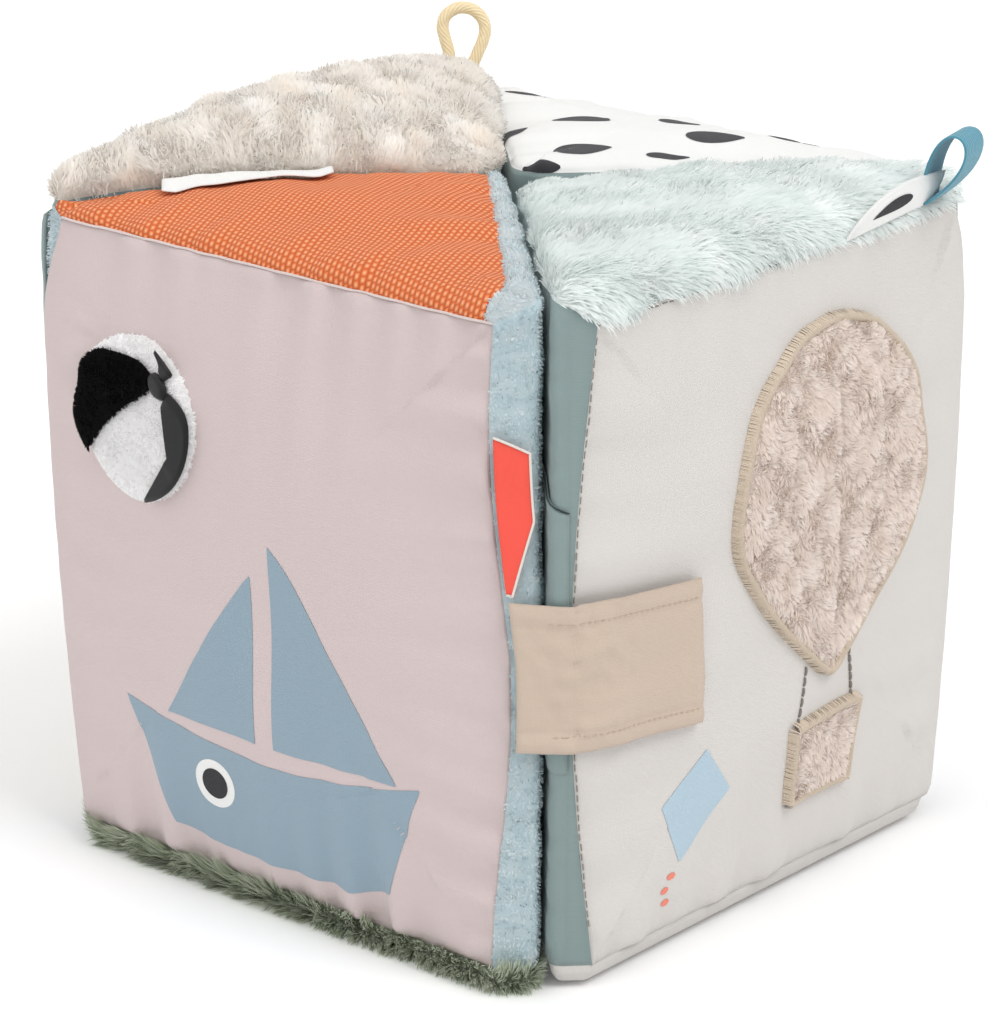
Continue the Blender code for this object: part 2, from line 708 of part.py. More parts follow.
def ribbon_loop(block, pivot, finish):
    """The folded ribbon: a teardrop band whose two ends meet at the mint top's seam."""
    columns = 20
    root, out, width_way = ribbon_frame()
    up = Vector((0, 0, 1))
    along = out * math.cos(RIBBON_LEAN) + up * math.sin(RIBBON_LEAN)
    across = up * math.cos(RIBBON_LEAN) - out * math.sin(RIBBON_LEAN)

    def middle_line(angle):
        run = RIBBON_LENGTH * (1 - math.cos(angle)) / 2
        open_share = math.sin(angle) * math.sin(angle / 2) / TEARDROP_FULLNESS
        return along * run + across * (RIBBON_OPEN / 2 * open_share)

    def place(column, row, layer, ring):
        first = RIBBON_FIRST_ANGLE
        angle = first + (2 * math.pi - 2 * first) * column / columns
        step = (math.pi - first) / columns
        onward = (middle_line(angle + step) - middle_line(angle - step)).normalized()
        normal = onward.cross(width_way)
        beside = width_way * (RIBBON_WIDTH * (row - 1 / 2))
        start = along * (RIBBON_THICKNESS - RIBBON_LENGTH * (1 - math.cos(first)) / 2)
        half = RIBBON_THICKNESS / 2 * (1 - 2 * layer)
        return root + start + middle_line(angle) + beside + normal * half

    return slab(block, "ribbon_loop", columns, 1, place, pivot, finish)


def smooth_route(points, steps):
    """Points read from a smooth curve through the route's own points."""
    padded = [2 * points[0] - points[1], *points, 2 * points[-1] - points[-2]]
    route = []
    for before, here, after, beyond in zip(padded, padded[1:], padded[2:], padded[3:]):
        for step in range(steps):
            share = step / steps
            route.append(
                here
                + (after - before) * (share / 2)
                + (before * 2 - here * 5 + after * 4 - beyond) * (share**2 / 2)
                + (here * 3 - before - after * 3 + beyond) * (share**3 / 2)
            )
    route.append(points[-1])
    return route


def rope_loop(block, pivot, finish):
    """The cotton rope loop, sewn in at the back corner on the beige wedge."""
    route = smooth_route([Vector(point) for point in ROPE_POINTS], ROPE_STEPS)
    data = bpy.data.curves.new("rope_loop", "CURVE")
    data.dimensions = "3D"
    data.bevel_depth = ROPE_DIAMETER / 2
    data.bevel_resolution = 2
    data.use_fill_caps = True
    spline = data.splines.new("POLY")
    spline.points.add(len(route) - 1)
    for point, place in zip(spline.points, route):
        point.co = (*(place - Vector(pivot["place"])), 1)
    return add_object(block, "rope_loop", data, pivot, finish)


def disc_point(column, row, segments):
    """A point of the unit disc for a cell corner of a square grid."""
    x, y = 2 * column / segments - 1, 2 * row / segments - 1
    return Vector((x * math.sqrt(1 - y * y / 2), y * math.sqrt(1 - x * x / 2)))


def ball_spot(angle, fall):
    """A point of the ball at an angle round its cap and a fall away from it, as seen from afar."""
    flat = math.sin(BALL_CAP_TILT)
    turn = BALL_CAP_TURN
    cap = Vector((flat * math.cos(turn), flat * math.sin(turn), math.cos(BALL_CAP_TILT)))
    first = Vector((-math.sin(turn), math.cos(turn), 0))
    way = first * math.cos(angle) + cap.cross(first) * math.sin(angle)
    horizon = math.atan2(cap.z, -way.z)
    spot = (cap * math.cos(fall) + way * math.sin(fall)) * BALL_RADIUS
    return spot.x, spot.y, horizon


def ball_panel(block, name, first_angle, last_angle, pivot, finish):
    """A panel between two of the ball's seams, from the cap to the edge that can be seen."""
    steps = BALL_PANEL_STEPS
    lift = 2 * LAYER_GAP + BALL_BASE_THICKNESS
    start = BALL_HUB_FALL + BALL_PANEL_MARGIN

    def place(column, row, layer, ring):
        angle = first_angle + (last_angle - first_angle) * column / steps
        horizon = ball_spot(angle, 0)[2] - BALL_PANEL_MARGIN
        across, up, _ = ball_spot(angle, start + (horizon - start) * row / steps)
        height = lift + BALL_PANEL_THICKNESS * (1 - layer)
        return PINK.on_face(BALL_CENTRE_ALONG + across, BALL_CENTRE_HEIGHT + up, height)

    return slab(block, name, steps, steps, place, pivot, finish)


def ball_base(block, pivot, finish):
    """The white disc under the ball's dark panels."""
    segments = BALL_SEGMENTS

    def place(column, row, layer, ring):
        spot = disc_point(column, row, segments) * BALL_RADIUS
        along, height = BALL_CENTRE_ALONG + spot.x, BALL_CENTRE_HEIGHT + spot.y
        return PINK.on_face(along, height, LAYER_GAP + BALL_BASE_THICKNESS * (1 - layer))

    return slab(block, "ball_base", segments, segments, place, pivot, finish)


def ball_hub(block, pivot, finish):
    """The ball's cap, where its panels meet."""
    steps = BALL_PANEL_STEPS

    def place(column, row, layer, ring):
        spot = disc_point(column, row, steps)
        across, up, _ = ball_spot(math.atan2(spot.y, spot.x), BALL_HUB_FALL * spot.length)
        height = 2 * LAYER_GAP + BALL_BASE_THICKNESS + BALL_HUB_THICKNESS * (1 - layer)
        return PINK.on_face(BALL_CENTRE_ALONG + across, BALL_CENTRE_HEIGHT + up, height)

    return slab(block, "ball_hub", steps, steps, place, pivot, finish)


def balloon_envelope(block, pivot, finish):
    """The balloon's envelope: round above and drawn to a neck below."""
    segments = 10

    def place(column, row, layer, ring):
        spot = disc_point(column, row, segments)
        below = max(0, -spot.y)
        width = 1 - (1 - BALLOON_NECK_SHARE) * below**1.6
        along = BALLOON_CENTRE_ALONG + spot.x * width * BALLOON_WIDTH / 2
        height = BALLOON_CENTRE_HEIGHT + spot.y * BALLOON_HEIGHT / 2
        return MINT.on_face(along, height, LAYER_GAP + BALLOON_THICKNESS * (1 - layer))

    return slab(block, "balloon_envelope", segments, segments, place, pivot, finish)


def balloon_basket(block, pivot, finish):
    """The basket patch under the balloon, narrower at its foot."""
    columns = 4

    def place(column, row, layer, ring):
        down = 1 - row / columns
        width = BASKET_WIDTH * (1 - (1 - BASKET_TAPER_SHARE) * down)
        along = BALLOON_CENTRE_ALONG + width * (column / columns - 1 / 2)
        height = BASKET_TOP - BASKET_HEIGHT * down
        return MINT.on_face(along, height, LAYER_GAP + BASKET_THICKNESS * (1 - layer))

    return slab(block, "balloon_basket", columns, columns, place, pivot, finish)


def corner_axis(wedge, side):
    """The point at floor level where a hinge's axis stands, on the outer side of its tape."""
    point = wedge.corner_point(side, wedge.corners[side].hinge_radius(), 0)
    return wedge.world(point.x, point.y, 0)


def add_wedge(
    block, wedge, pivot, names, finishes,
    crown=TOP_CROWN, pile=0.0, skirt=PLAIN_FOOT_SKIRT_SHARE,
):
    """The five sewn and stuffed pieces of one wedge."""
    foam_core(block, names["core"], wedge, pivot, finishes["core"])
    face_panel(block, names["face"], wedge, pivot, finishes["face"])
    wall_panel(block, names["wall"], wedge, pivot, finishes["wall"])
    top_panel(block, names["top"], wedge, pivot, finishes["top"], crown, pile)
    bottom_panel(block, names["bottom"], wedge, pivot, finishes["bottom"], skirt)


def add_ball(block, pivot, white, black, satin):
    """The ball applique: a white disc, three dark panels and the cap."""
    ball_base(block, pivot, white)
    for name, angles in BALL_PANELS.items():
        ball_panel(block, name, *angles, pivot, black if name == "ball_plush_panel" else satin)
    ball_hub(block, pivot, satin)


def centre_box(block, root):
    """Moves the whole block so that the box round its stiff pieces is centred over the origin."""
    corners = [
        Vector(piece.parent["place"]) + vert.co
        for piece in block.objects
        if piece.type == "MESH"
        for vert in piece.data.vertices
    ]
    for axis in range(2):
        reaches = [corner[axis] for corner in corners]
        root.location[axis] = -(min(reaches) + max(reaches)) / 2


def main():
    clear_scene()
    block = new_collection("soft_fabric_block")
    foam = material("foam", (0.85, 0.84, 0.78))
    pink = material("pink_cotton", (0.69, 0.60, 0.60))
    orange = material("orange_knit", (0.87, 0.19, 0.07))
    sage = material("sage_fur", (0.30, 0.37, 0.24))
    plush = material("blue_plush", (0.48, 0.65, 0.68))
    beige_fur = material("beige_fur", (0.62, 0.55, 0.46))
    beige_cotton = material("beige_cotton", (0.60, 0.55, 0.48))
    lining = material("blue_lining", (0.38, 0.56, 0.56))
    white_cotton = material("white_cotton", (0.85, 0.84, 0.82))
    mint_fur = material("mint_fur", (0.60, 0.73, 0.69))
    greige = material("greige_cotton", (0.72, 0.69, 0.65))
    teal = material("teal_ribbon", (0.11, 0.35, 0.46))
    tan = material("tan_cotton", (0.57, 0.47, 0.38))
    coral = material("coral_satin", (0.95, 0.12, 0.09))
    fastener = material("fastener_tape", (0.70, 0.66, 0.60))
    rope = material("cotton_rope", (0.74, 0.55, 0.32))
    black_plush = material("black_plush", (0.01, 0.01, 0.01))
    black_satin = material("black_satin", (0.02, 0.02, 0.02), 0.4)
    white_plush = material("white_plush", (0.83, 0.82, 0.80))
    rose_plush = material("rose_beige_plush", (0.66, 0.56, 0.50))

    root = add_pivot(block, "block_root", Vector())
    pink_pivot = add_pivot(block, "pink_hinge_axis", corner_axis(PINK, -1), root)
    dots_pivot = add_pivot(block, "dots_hinge_axis", corner_axis(DOTS, 1), root)
    mint_pivot = add_pivot(block, "mint_hinge_axis", corner_axis(MINT, 1), dots_pivot)

    add_wedge(
        block, BEIGE, root,
        {"core": "beige_foam_core", "face": "beige_face_panel", "wall": "beige_wall_lining",
         "top": "beige_fur_top", "bottom": "beige_bottom_panel"},
        {"core": foam, "face": beige_cotton, "wall": lining, "top": beige_fur,
         "bottom": beige_cotton},
        crown=BEIGE_TOP_CROWN, pile=BEIGE_PILE,
    )
    add_wedge(
        block, PINK, pink_pivot,
        {"core": "pink_foam_core", "face": "pink_face_panel", "wall": "pink_wall_plush",
         "top": "orange_knit_top", "bottom": "sage_fur_bottom"},
        {"core": foam, "face": pink, "wall": plush, "top": orange, "bottom": sage},
        skirt=FUR_FOOT_SKIRT_SHARE,
    )
    add_wedge(
        block, DOTS, dots_pivot,
        {"core": "dots_foam_core", "face": "dots_face_panel", "wall": "dots_wall_lining",
         "top": "dots_cotton_top", "bottom": "dots_bottom_panel"},
        {"core": foam, "face": white_cotton, "wall": lining, "top": white_cotton,
         "bottom": beige_cotton},
    )
    add_wedge(
        block, MINT, mint_pivot,
        {"core": "mint_foam_core", "face": "greige_face_panel", "wall": "mint_wall_lining",
         "top": "mint_fur_top", "bottom": "mint_bottom_panel"},
        {"core": foam, "face": greige, "wall": lining, "top": mint_fur, "bottom": beige_cotton},
        pile=MINT_PILE,
    )

    tape_leaf(block, "left_tape_beige", BEIGE, 1, root, lining)
    tape_leaf(block, "left_tape_pink", PINK, -1, pink_pivot, lining)
    tape_leaf(block, "back_tape_beige", BEIGE, -1, root, lining)
    tape_leaf(block, "back_tape_dots", DOTS, 1, dots_pivot, lining)
    tape_leaf(block, "right_tape_dots", DOTS, -1, dots_pivot, lining)
    tape_leaf(block, "right_tape_mint", MINT, 1, mint_pivot, lining)

    strap_root, strap_out = strap_stations(STRAP_CENTRE_HEIGHT)[0]
    strap_axis = strap_root + strap_out * (STRAP_LIFT + STRAP_THICKNESS / 2)
    strap_pivot = add_pivot(block, "strap_axis", strap_axis, pink_pivot)
    strap(block, strap_pivot, tan)
    closing_patch(
        block, "strap_hook_patch", 2 * LAYER_GAP + PATCH_THICKNESS, strap_pivot, fastener
    )
    closing_patch(block, "strap_loop_patch", LAYER_GAP, mint_pivot, fastener)
    wall_pocket(block, mint_pivot, lining)

    coral_axis = PINK.cut_point(1, CORAL_TOP, 0, LAYER_GAP)
    coral_tag(block, add_pivot(block, "coral_tag_axis", coral_axis, pink_pivot), coral)
    label_pivot = add_pivot(block, "label_axis", label_point(0, 0, 0), pink_pivot)
    woven_label(block, label_pivot, white_cotton)
    leaf_axis = MINT.world(
        MINT.edge(1, 1).x, (LEAF_START + LEAF_END) / 2, TOP_SEAM + 2 * LAYER_GAP
    )
    leaf_tag(block, add_pivot(block, "drop_tag_axis", leaf_axis, mint_pivot), white_cotton)
    ribbon_pivot = add_pivot(block, "ribbon_loop_axis", ribbon_frame()[0], mint_pivot)
    ribbon_loop(block, ribbon_pivot, teal)
    rope_loop(block, root, rope)

    add_ball(block, pink_pivot, white_plush, black_plush, black_satin)
    balloon_envelope(block, mint_pivot, rose_plush)
    balloon_basket(block, mint_pivot, rose_plush)
    centre_box(block, root)


main()
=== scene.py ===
"""The looks of a soft fold-out activity block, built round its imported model."""

import json
import logging
import math
from dataclasses import dataclass, field
from enum import Enum

import bpy
import numpy as np
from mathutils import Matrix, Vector


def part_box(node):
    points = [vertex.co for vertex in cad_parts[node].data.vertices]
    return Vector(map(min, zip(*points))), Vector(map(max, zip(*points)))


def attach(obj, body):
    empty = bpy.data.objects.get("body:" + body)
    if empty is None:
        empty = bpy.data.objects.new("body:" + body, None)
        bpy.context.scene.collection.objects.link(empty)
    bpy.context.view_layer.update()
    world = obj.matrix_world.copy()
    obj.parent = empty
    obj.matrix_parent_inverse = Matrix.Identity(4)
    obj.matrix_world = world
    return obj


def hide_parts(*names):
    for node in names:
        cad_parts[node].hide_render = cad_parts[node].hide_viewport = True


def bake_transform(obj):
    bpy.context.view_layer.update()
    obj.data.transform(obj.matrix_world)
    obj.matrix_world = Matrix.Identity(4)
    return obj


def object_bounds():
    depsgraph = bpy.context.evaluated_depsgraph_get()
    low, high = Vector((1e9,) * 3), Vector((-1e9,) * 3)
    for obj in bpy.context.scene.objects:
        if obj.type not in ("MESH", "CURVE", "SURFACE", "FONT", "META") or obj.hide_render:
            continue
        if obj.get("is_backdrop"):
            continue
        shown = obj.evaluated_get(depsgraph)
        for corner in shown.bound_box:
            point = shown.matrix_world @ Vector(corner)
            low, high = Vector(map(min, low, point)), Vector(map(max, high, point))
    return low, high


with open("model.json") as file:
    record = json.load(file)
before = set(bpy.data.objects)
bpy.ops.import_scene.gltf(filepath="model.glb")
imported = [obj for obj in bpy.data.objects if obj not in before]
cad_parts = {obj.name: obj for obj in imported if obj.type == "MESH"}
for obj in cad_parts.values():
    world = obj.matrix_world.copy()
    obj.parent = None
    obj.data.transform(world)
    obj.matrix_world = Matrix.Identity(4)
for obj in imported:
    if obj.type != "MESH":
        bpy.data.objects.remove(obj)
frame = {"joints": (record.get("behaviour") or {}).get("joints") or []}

Array = np.ndarray
LOG = logging.getLogger("soft_block")


# Sizes and shape of the four stuffed wedges

@dataclass(frozen=True)
class BlockSizes:
    """The sizes that all four wedges share, in metres."""

    side: float = 0.200
    seam_height: float = 0.184
    foot: float = 0.007
    cut: float = 0.019
    gap: float = 0.0024
    wall_rise: float = 0.0065
    face_crown: float = 0.006
    top_crown: float = 0.0025
    crown_power: float = 2.5
    apex_radius: float = 0.010
    top_draw: float = 0.001
    draw_start: float = 0.85
    top_draw_start: float = 0.90
    rounding: float = 0.0045
    cut_width: float = 0.0122

    @property
    def top(self) -> float:
        """The height of the seams between the faces and the tops."""
        return self.foot + self.seam_height

    @property
    def centre(self) -> Vector:
        """Where the block's upright middle line stands, read from its hinges."""
        places = {joint["name"]: joint["pos_m"] for joint in frame["joints"]}
        return Vector((places["hinge_back"][0], places["hinge_right"][1], 0))

    def level(self, height: Array) -> Array:
        """The level of a height: 0 at the foot and 1 at the top seam."""
        return (height - self.foot) / self.seam_height


SIZES = BlockSizes()
TINY = 1e-12
UP = np.array([0.0, 0.0, 1.0])
LEVEL_WAY = np.array([1.0, 1.0, 0.0])


def dome(across: Array) -> Array:
    """The swell of stuffing: 1 in the middle of a panel and 0 at its seams at -1 and 1."""
    return np.maximum(0, 1 - np.abs(across) ** SIZES.crown_power)


def bell(distance: Array, width: float) -> Array:
    """A smooth ridge: 1 at distance 0, and near 0 from twice the width on."""
    return np.exp(-((distance / width) ** 2))


def quarter_round(share: Array) -> Array:
    """A quarter circle: 0 at share 0, rising steeply, and 1 from share 1 on."""
    return np.sqrt(1 - (1 - np.clip(share, 0, 1)) ** 2)


def unit(vectors: Array) -> Array:
    """The vectors at length 1, with the very short ones left near 0."""
    return vectors / np.maximum(np.linalg.norm(vectors, axis=-1, keepdims=True), TINY)


def passed_along(points: Array) -> Array:
    """How far along a line each of its points lies, from 0."""
    return np.concatenate([[0], np.cumsum(np.linalg.norm(np.diff(points, axis=0), axis=1))])


def border_of(grid: Array) -> Array:
    """The outermost values of a grid, in order round it."""
    return np.concatenate([grid[0], grid[1:, -1], grid[-1, -2::-1], grid[-2:0:-1, 0]])


def unit_grid(rows: int, columns: int) -> tuple[Array, Array]:
    """For each point of a grid, its share down the rows and its share across the columns."""
    return tuple(np.meshgrid(np.linspace(0, 1, rows), np.linspace(0, 1, columns), indexing="ij"))


def ripples(places: Array, wavelength: float, seed: int, waves: int = 12) -> Array:
    """Smooth random values, mostly between -1 and 1, that are the same each time.

    Args:
        places: Points in one, two or three dimensions, along the last axis.
        wavelength: The usual distance between two crests.
        seed: Chooses the pattern.
        waves: How many plain waves are added up.

    Returns:
        One value for each point.
    """
    slowest, fastest, gain = 0.7, 1.6, 1.2
    rng = np.random.default_rng(seed)
    ways = unit(rng.normal(size=(waves, places.shape[-1])))
    rates = 2 * math.pi / (wavelength * rng.uniform(slowest, fastest, waves))
    phases = rng.uniform(0, 2 * math.pi, waves)
    turns = (places @ ways.T) * rates + phases
    return np.sin(turns).sum(-1) / math.sqrt(2 * waves) * gain


@dataclass(frozen=True)
class CornerShape:
    """One cut corner of the square block, where two wedges meet."""

    draw: float
    ridge: float
    nose: float = 0.0
    middle_cut: float = SIZES.cut
    sharpness: float = 1.0
    lowering: float = 1.0
    flare: float = 0.0

    def cut(self, level: Array) -> Array:
        """The length cut off the face at a level from 0, the foot, to 1, the top seam."""
        level = np.clip(level, 0, 1)
        narrowed = np.maximum(0, np.sin(math.pi * level**self.lowering)) ** self.sharpness
        flared = self.flare * np.maximum(0, -np.sin(2 * math.pi * level))
        return SIZES.cut - (SIZES.cut - self.middle_cut) * narrowed + flared

    def radius(self, level: Array) -> Array:
        """How far from the block's middle line the face meets the cut."""
        below = np.maximum(0, (SIZES.draw_start - level) / SIZES.draw_start)
        above = np.maximum(0, (level - SIZES.top_draw_start) / (1 - SIZES.top_draw_start))
        drawn = self.draw * below**2 + SIZES.top_draw * above**2
        return (SIZES.side - self.cut(level)) / math.sqrt(2) - drawn

    def wall_radius(self, level: Array) -> Array:
        """How far out the cut meets the inner wall."""
        return self.radius(level) + self.nose * (1 - (1 - np.clip(level, 0, 1)) ** 2)

    def cut_radius(self, level: Array, aside: Array) -> Array:
        """How far out the cut stands, some way aside from the corner's diagonal."""
        half = SIZES.gap / 2
        share = (aside - half) / (self.cut(level) / math.sqrt(2) - half)
        return self.wall_radius(level) + (self.radius(level) - self.wall_radius(level)) * share


LEFT = CornerShape(draw=0.006, ridge=0.15, nose=0.0028)
BACK = CornerShape(draw=0.005, ridge=0.10)
RIGHT = CornerShape(draw=0.005, ridge=0.70)
FRONT_PINK = CornerShape(
    draw=0.003, ridge=1.0, middle_cut=0.0125, sharpness=2.5, lowering=0.82, flare=0.0025
)
FRONT_MINT = CornerShape(draw=0.003, ridge=1.0, middle_cut=0.0085)


class Surface:
    """A grid of points on one sewn panel, with each point's place on the flat pattern."""

    def __init__(self, points: Array, flat: Array, inside: Array) -> None:
        """Keeps the grid.

        Args:
            points: Rows, columns and three coordinates, in metres.
            flat: Rows, columns and two pattern coordinates, in metres.
            inside: A point inside the stuffed body that the panel covers.
        """
        self.points = points
        self.flat = flat
        self.inside = inside
        self.first_column, self.face_columns = 0, points.shape[1]
        self.distance, self.along = self._border()
        self.refresh()

    def refresh(self) -> None:
        """Works out the outward normals and the directions of the pattern's two axes."""
        down = np.gradient(self.points, axis=0)
        over = np.gradient(self.points, axis=1)
        normals = unit(np.cross(over, down))
        outward = (normals * (self.points - self.inside)).sum(-1)
        self.flipped = outward.mean() < 0
        normals = -normals if self.flipped else normals
        flat_down = np.gradient(self.flat, axis=0)
        flat_over = np.gradient(self.flat, axis=1)
        spread = flat_down[..., 0] * flat_over[..., 1] - flat_down[..., 1] * flat_over[..., 0]
        spread = np.where(np.abs(spread) < 1e-12, 1e-12, spread)[..., None]
        first = (down * flat_over[..., 1:2] - over * flat_down[..., 1:2]) / spread
        second = (over * flat_down[..., 0:1] - down * flat_over[..., 0:1]) / spread
        self.normals, self.first, self.second = normals, unit(first), unit(second)
        for grid in (self.normals, self.first, self.second):
            grid[0] = np.where(np.abs(over[0]).max() < 1e-9, grid[1].mean(0), grid[0])

    def _border(self) -> tuple[Array, Array]:
        """Each point's distance to the seams, and how far round the seams it lies."""
        flat = self.flat
        start = border_of(flat)
        end = np.roll(start, -1, 0)
        step = end - start
        length = np.maximum(np.linalg.norm(step, axis=1), 1e-9)
        passed = np.concatenate([[0], np.cumsum(length)[:-1]])
        places = flat.reshape(-1, 2)
        nearest = np.full(len(places), np.inf)
        along = np.zeros(len(places))
        for index in range(len(start)):
            offset = places - start[index]
            share = np.clip(offset @ step[index] / length[index] ** 2, 0, 1)
            away = np.linalg.norm(offset - share[:, None] * step[index], axis=1)
            closer = away < nearest
            nearest[closer] = away[closer]
            along[closer] = passed[index] + share[closer] * length[index]
        return nearest.reshape(flat.shape[:2]), along.reshape(flat.shape[:2])

    def shift(self, distance: Array) -> None:
        """Moves each point out along its normal by a distance, in metres."""
        self.points = self.points + self.normals * distance[..., None]
        self.refresh()

    def draw_in(self, ways: Array, distance: Array) -> None:
        """Moves each point by a distance along a way that both panels at a seam share."""
        self.points = self.points + ways * distance[..., None]
        self.refresh()

    def read(self, grid: Array, row: Array, column: Array) -> Array:
        """Values of a grid at rows and columns with fractions."""
        top = np.clip(np.floor(row).astype(int), 0, grid.shape[0] - 2)
        left = np.clip(np.floor(column).astype(int), 0, grid.shape[1] - 2)
        down, over = row - top, column - left
        if grid.ndim == 3:
            down, over = down[..., None], over[..., None]
        upper = grid[top, left] * (1 - over) + grid[top, left + 1] * over
        lower = grid[top + 1, left] * (1 - over) + grid[top + 1, left + 1] * over
        return upper * (1 - down) + lower * down

    def at(self, row: Array, column: Array, lift: Array | float = 0.0) -> Array:
        """Points on the panel, lifted off it by a distance."""
        lifted = np.asarray(lift)[..., None]
        return self.read(self.points, row, column) + self.read(self.normals, row, column) * lifted


@dataclass(frozen=True)
class SeamLook:
    """How a panel looks near its seams: drawn in, gathered and softly folded."""

    depth: float = 0.0011
    width: float = 0.0018
    hold: float = 0.0015
    gather: float = 0.00040
    spacing: float = 0.0085
    reach: float = 0.0090
    fold: float = 0.0010
    fold_spacing: float = 0.026
    fold_reach: float = 0.026
    slack: float = 0.0006
    slack_size: float = 0.045
    calm_columns: int = 7
    calm_least: float = 0.04

    def draw(self, surface: Surface, shape: "WedgeShape") -> None:
        """Draws a panel in at its seams."""
        drawn = self.depth * bell(surface.distance, self.width)
        surface.draw_in(shape.inward(surface.points), drawn)

    def press(self, surface: Surface, shape: "WedgeShape", seed: int) -> None:
        """Draws a panel in at its seams, and gives it gathers, folds and slack."""
        distance, along = surface.distance, surface.along[..., None]
        self.draw(surface, shape)
        free = (1 - np.exp(-distance / self.hold)) * self._calm(surface)
        gathers = self.gather * ripples(along, self.spacing, seed) * free
        folds = self.fold * ripples(along, self.fold_spacing, seed + 1) * free
        slack = self.slack * ripples(surface.flat, self.slack_size, seed + 2) * free
        surface.shift(
            slack
            + gathers * np.exp(-distance / self.reach)
            + folds * np.exp(-distance / self.fold_reach)
        )

    def _calm(self, surface: Surface) -> Array:
        """How freely each column folds: hardly at all where the cloth is wrapped round."""
        first, last = surface.first_column, surface.first_column + surface.face_columns
        column = np.arange(surface.distance.shape[1])
        count = len(column)
        from_low = column - first if first > 0 else np.full(count, count)
        from_high = last - 1 - column if last < count else np.full(count, count)
        within = np.minimum(from_low, from_high)
        return np.clip(within / self.calm_columns, self.calm_least, 1)


@dataclass(frozen=True)
class WedgeShape:
    """One wedge's outline. Its own frame has x out through its face and y along the face."""

    turn: float
    low: CornerShape
    high: CornerShape
    sag: float = 0.0
    cut_steps: int = 12
    round_steps: int = 8
    wall_steps: int = 70
    arc_steps: int = 6
    wrap_steps: int = 9
    wrap_fade: float = 0.16
    wrap_least: float = 0.06
    wrap_rise: float = 0.0030
    wrap_smoothing: int = 6
    middle_depth: float = 0.065
    stuffing_margin: float = 0.018
    underside_roll: float = 0.012

    def world(self, own: Array) -> Array:
        """Points of the wedge's own frame, in the block's place in the world."""
        cos, sin = math.cos(math.radians(self.turn)), math.sin(math.radians(self.turn))
        x = own[..., 0] * cos - own[..., 1] * sin + SIZES.centre.x
        y = own[..., 0] * sin + own[..., 1] * cos + SIZES.centre.y
        return np.stack([x, y, own[..., 2]], -1)

    def way(self, x: float, y: float) -> Array:
        """A level direction of the wedge's own frame, in the world."""
        return self.world(np.array([x, y, 0.0])) - self.world(np.zeros(3))

    def corner(self, side: int) -> CornerShape:
        """The corner at one end of the face: -1 for the low end and 1 for the high one."""
        return self.low if side < 0 else self.high

    def corner_point(self, side: int, radius: Array, aside: Array) -> Array:
        """A point out along a corner's diagonal and aside from it, in x and y."""
        first, second = radius + aside, side * (radius - aside)
        return np.stack(np.broadcast_arrays(first, second), -1) / math.sqrt(2)

    def edge(self, side: int, level: Array) -> Array:
        """Where the face meets the cut corner, in x and y."""
        corner = self.corner(side)
        return self.corner_point(side, corner.radius(level), corner.cut(level) / math.sqrt(2))

    def height(self, level: Array, walled: Array | float = 0.0) -> Array:
        """The height of a level, where walled is 0 over a face and 1 over an inner wall."""
        return SIZES.foot + level * (SIZES.seam_height + SIZES.wall_rise * walled)

    def half_wall(self, side: int, level: Array) -> tuple[Array, Array]:
        """The cut, the rounding, the wall and half of the inner edge, at some levels.

        Args:
            side: -1 or 1, for the low or high corner.
            level: Levels, as a list of R values.

        Returns:
            Points in x and y, R by S, from the face's edge to the inner edge's middle, and how
            walled each of the S samples is.
        """
        corner = self.corner(side)
        start = self.edge(side, level)[:, None]
        tip = self.corner_point(side, corner.wall_radius(level), SIZES.gap / 2)[:, None]
        middle = math.sqrt(2) * (SIZES.gap / 2 + SIZES.apex_radius)
        angles = np.radians(np.linspace(135, 180, self.arc_steps + 1))
        arc = np.stack([middle + SIZES.apex_radius * np.cos(angles),
                        side * SIZES.apex_radius * np.sin(angles)], -1)
        arc = arc[None] * np.ones((len(level), 1, 1))
        inner = arc[:, :1]
        before = tip + unit(start - tip) * SIZES.rounding
        after = tip + unit(inner - tip) * SIZES.rounding
        cut, bend, wall = (
            np.linspace(0, 1, count, endpoint=False)[None, :, None]
            for count in (self.cut_steps, self.round_steps, self.wall_steps)
        )
        line = np.concatenate([
            start + (before - start) * cut,
            before * (1 - bend) ** 2 + tip * 2 * bend * (1 - bend) + after * bend**2,
            after + (inner - after) * wall,
            arc,
        ], 1)
        cut_share = cut[0, :, 0] * (1 - SIZES.rounding / SIZES.cut_width)
        last = cut_share[-1] + 1 / self.cut_steps
        walled = np.concatenate([
            corner.ridge * cut_share,
            corner.ridge * (last + (1 - last) * bend[0, :, 0]),
            (1 - (1 - corner.ridge) * (1 - wall[0, :, 0]) ** 4)
            * (1 - self.sag * wall[0, :, 0] ** 2),
            np.full(self.arc_steps + 1, 1 - self.sag),
        ])
        return line, walled

    def wrapped(self, side: int, share: float, level: Array) -> Array:
        """Points of a face's cloth that reach round its cut corner, in x and y.

        Args:
            side: -1 or 1, for the low or high corner.
            share: How much of the cut the cloth covers.
            level: The rows' levels.

        Returns:
            One row of points for each level, from the face's edge on.
        """
        corner = self.corner(side)
        fade = np.clip((1 - level[:, 0]) / self.wrap_fade, 0, 1)
        smooth = fade * fade * (3 - 2 * fade)
        reach = share * (self.wrap_least + (1 - self.wrap_least) * smooth)
        start = self.edge(side, level[:, 0])
        tip = self.corner_point(side, corner.wall_radius(level[:, 0]), SIZES.gap / 2)
        steps_out = np.linspace(0, 1, self.wrap_steps + 1)[1:]
        out = np.array([1.0, side]) / math.sqrt(2)
        rise = self.wrap_rise * np.clip(steps_out * 3, 0, 1) * (1 - 0.5 * steps_out**6)
        along = start[:, None] + (tip - start)[:, None] * (reach[:, None] * steps_out)[..., None]
        return along + out * (rise[None] * fade[:, None])[..., None]

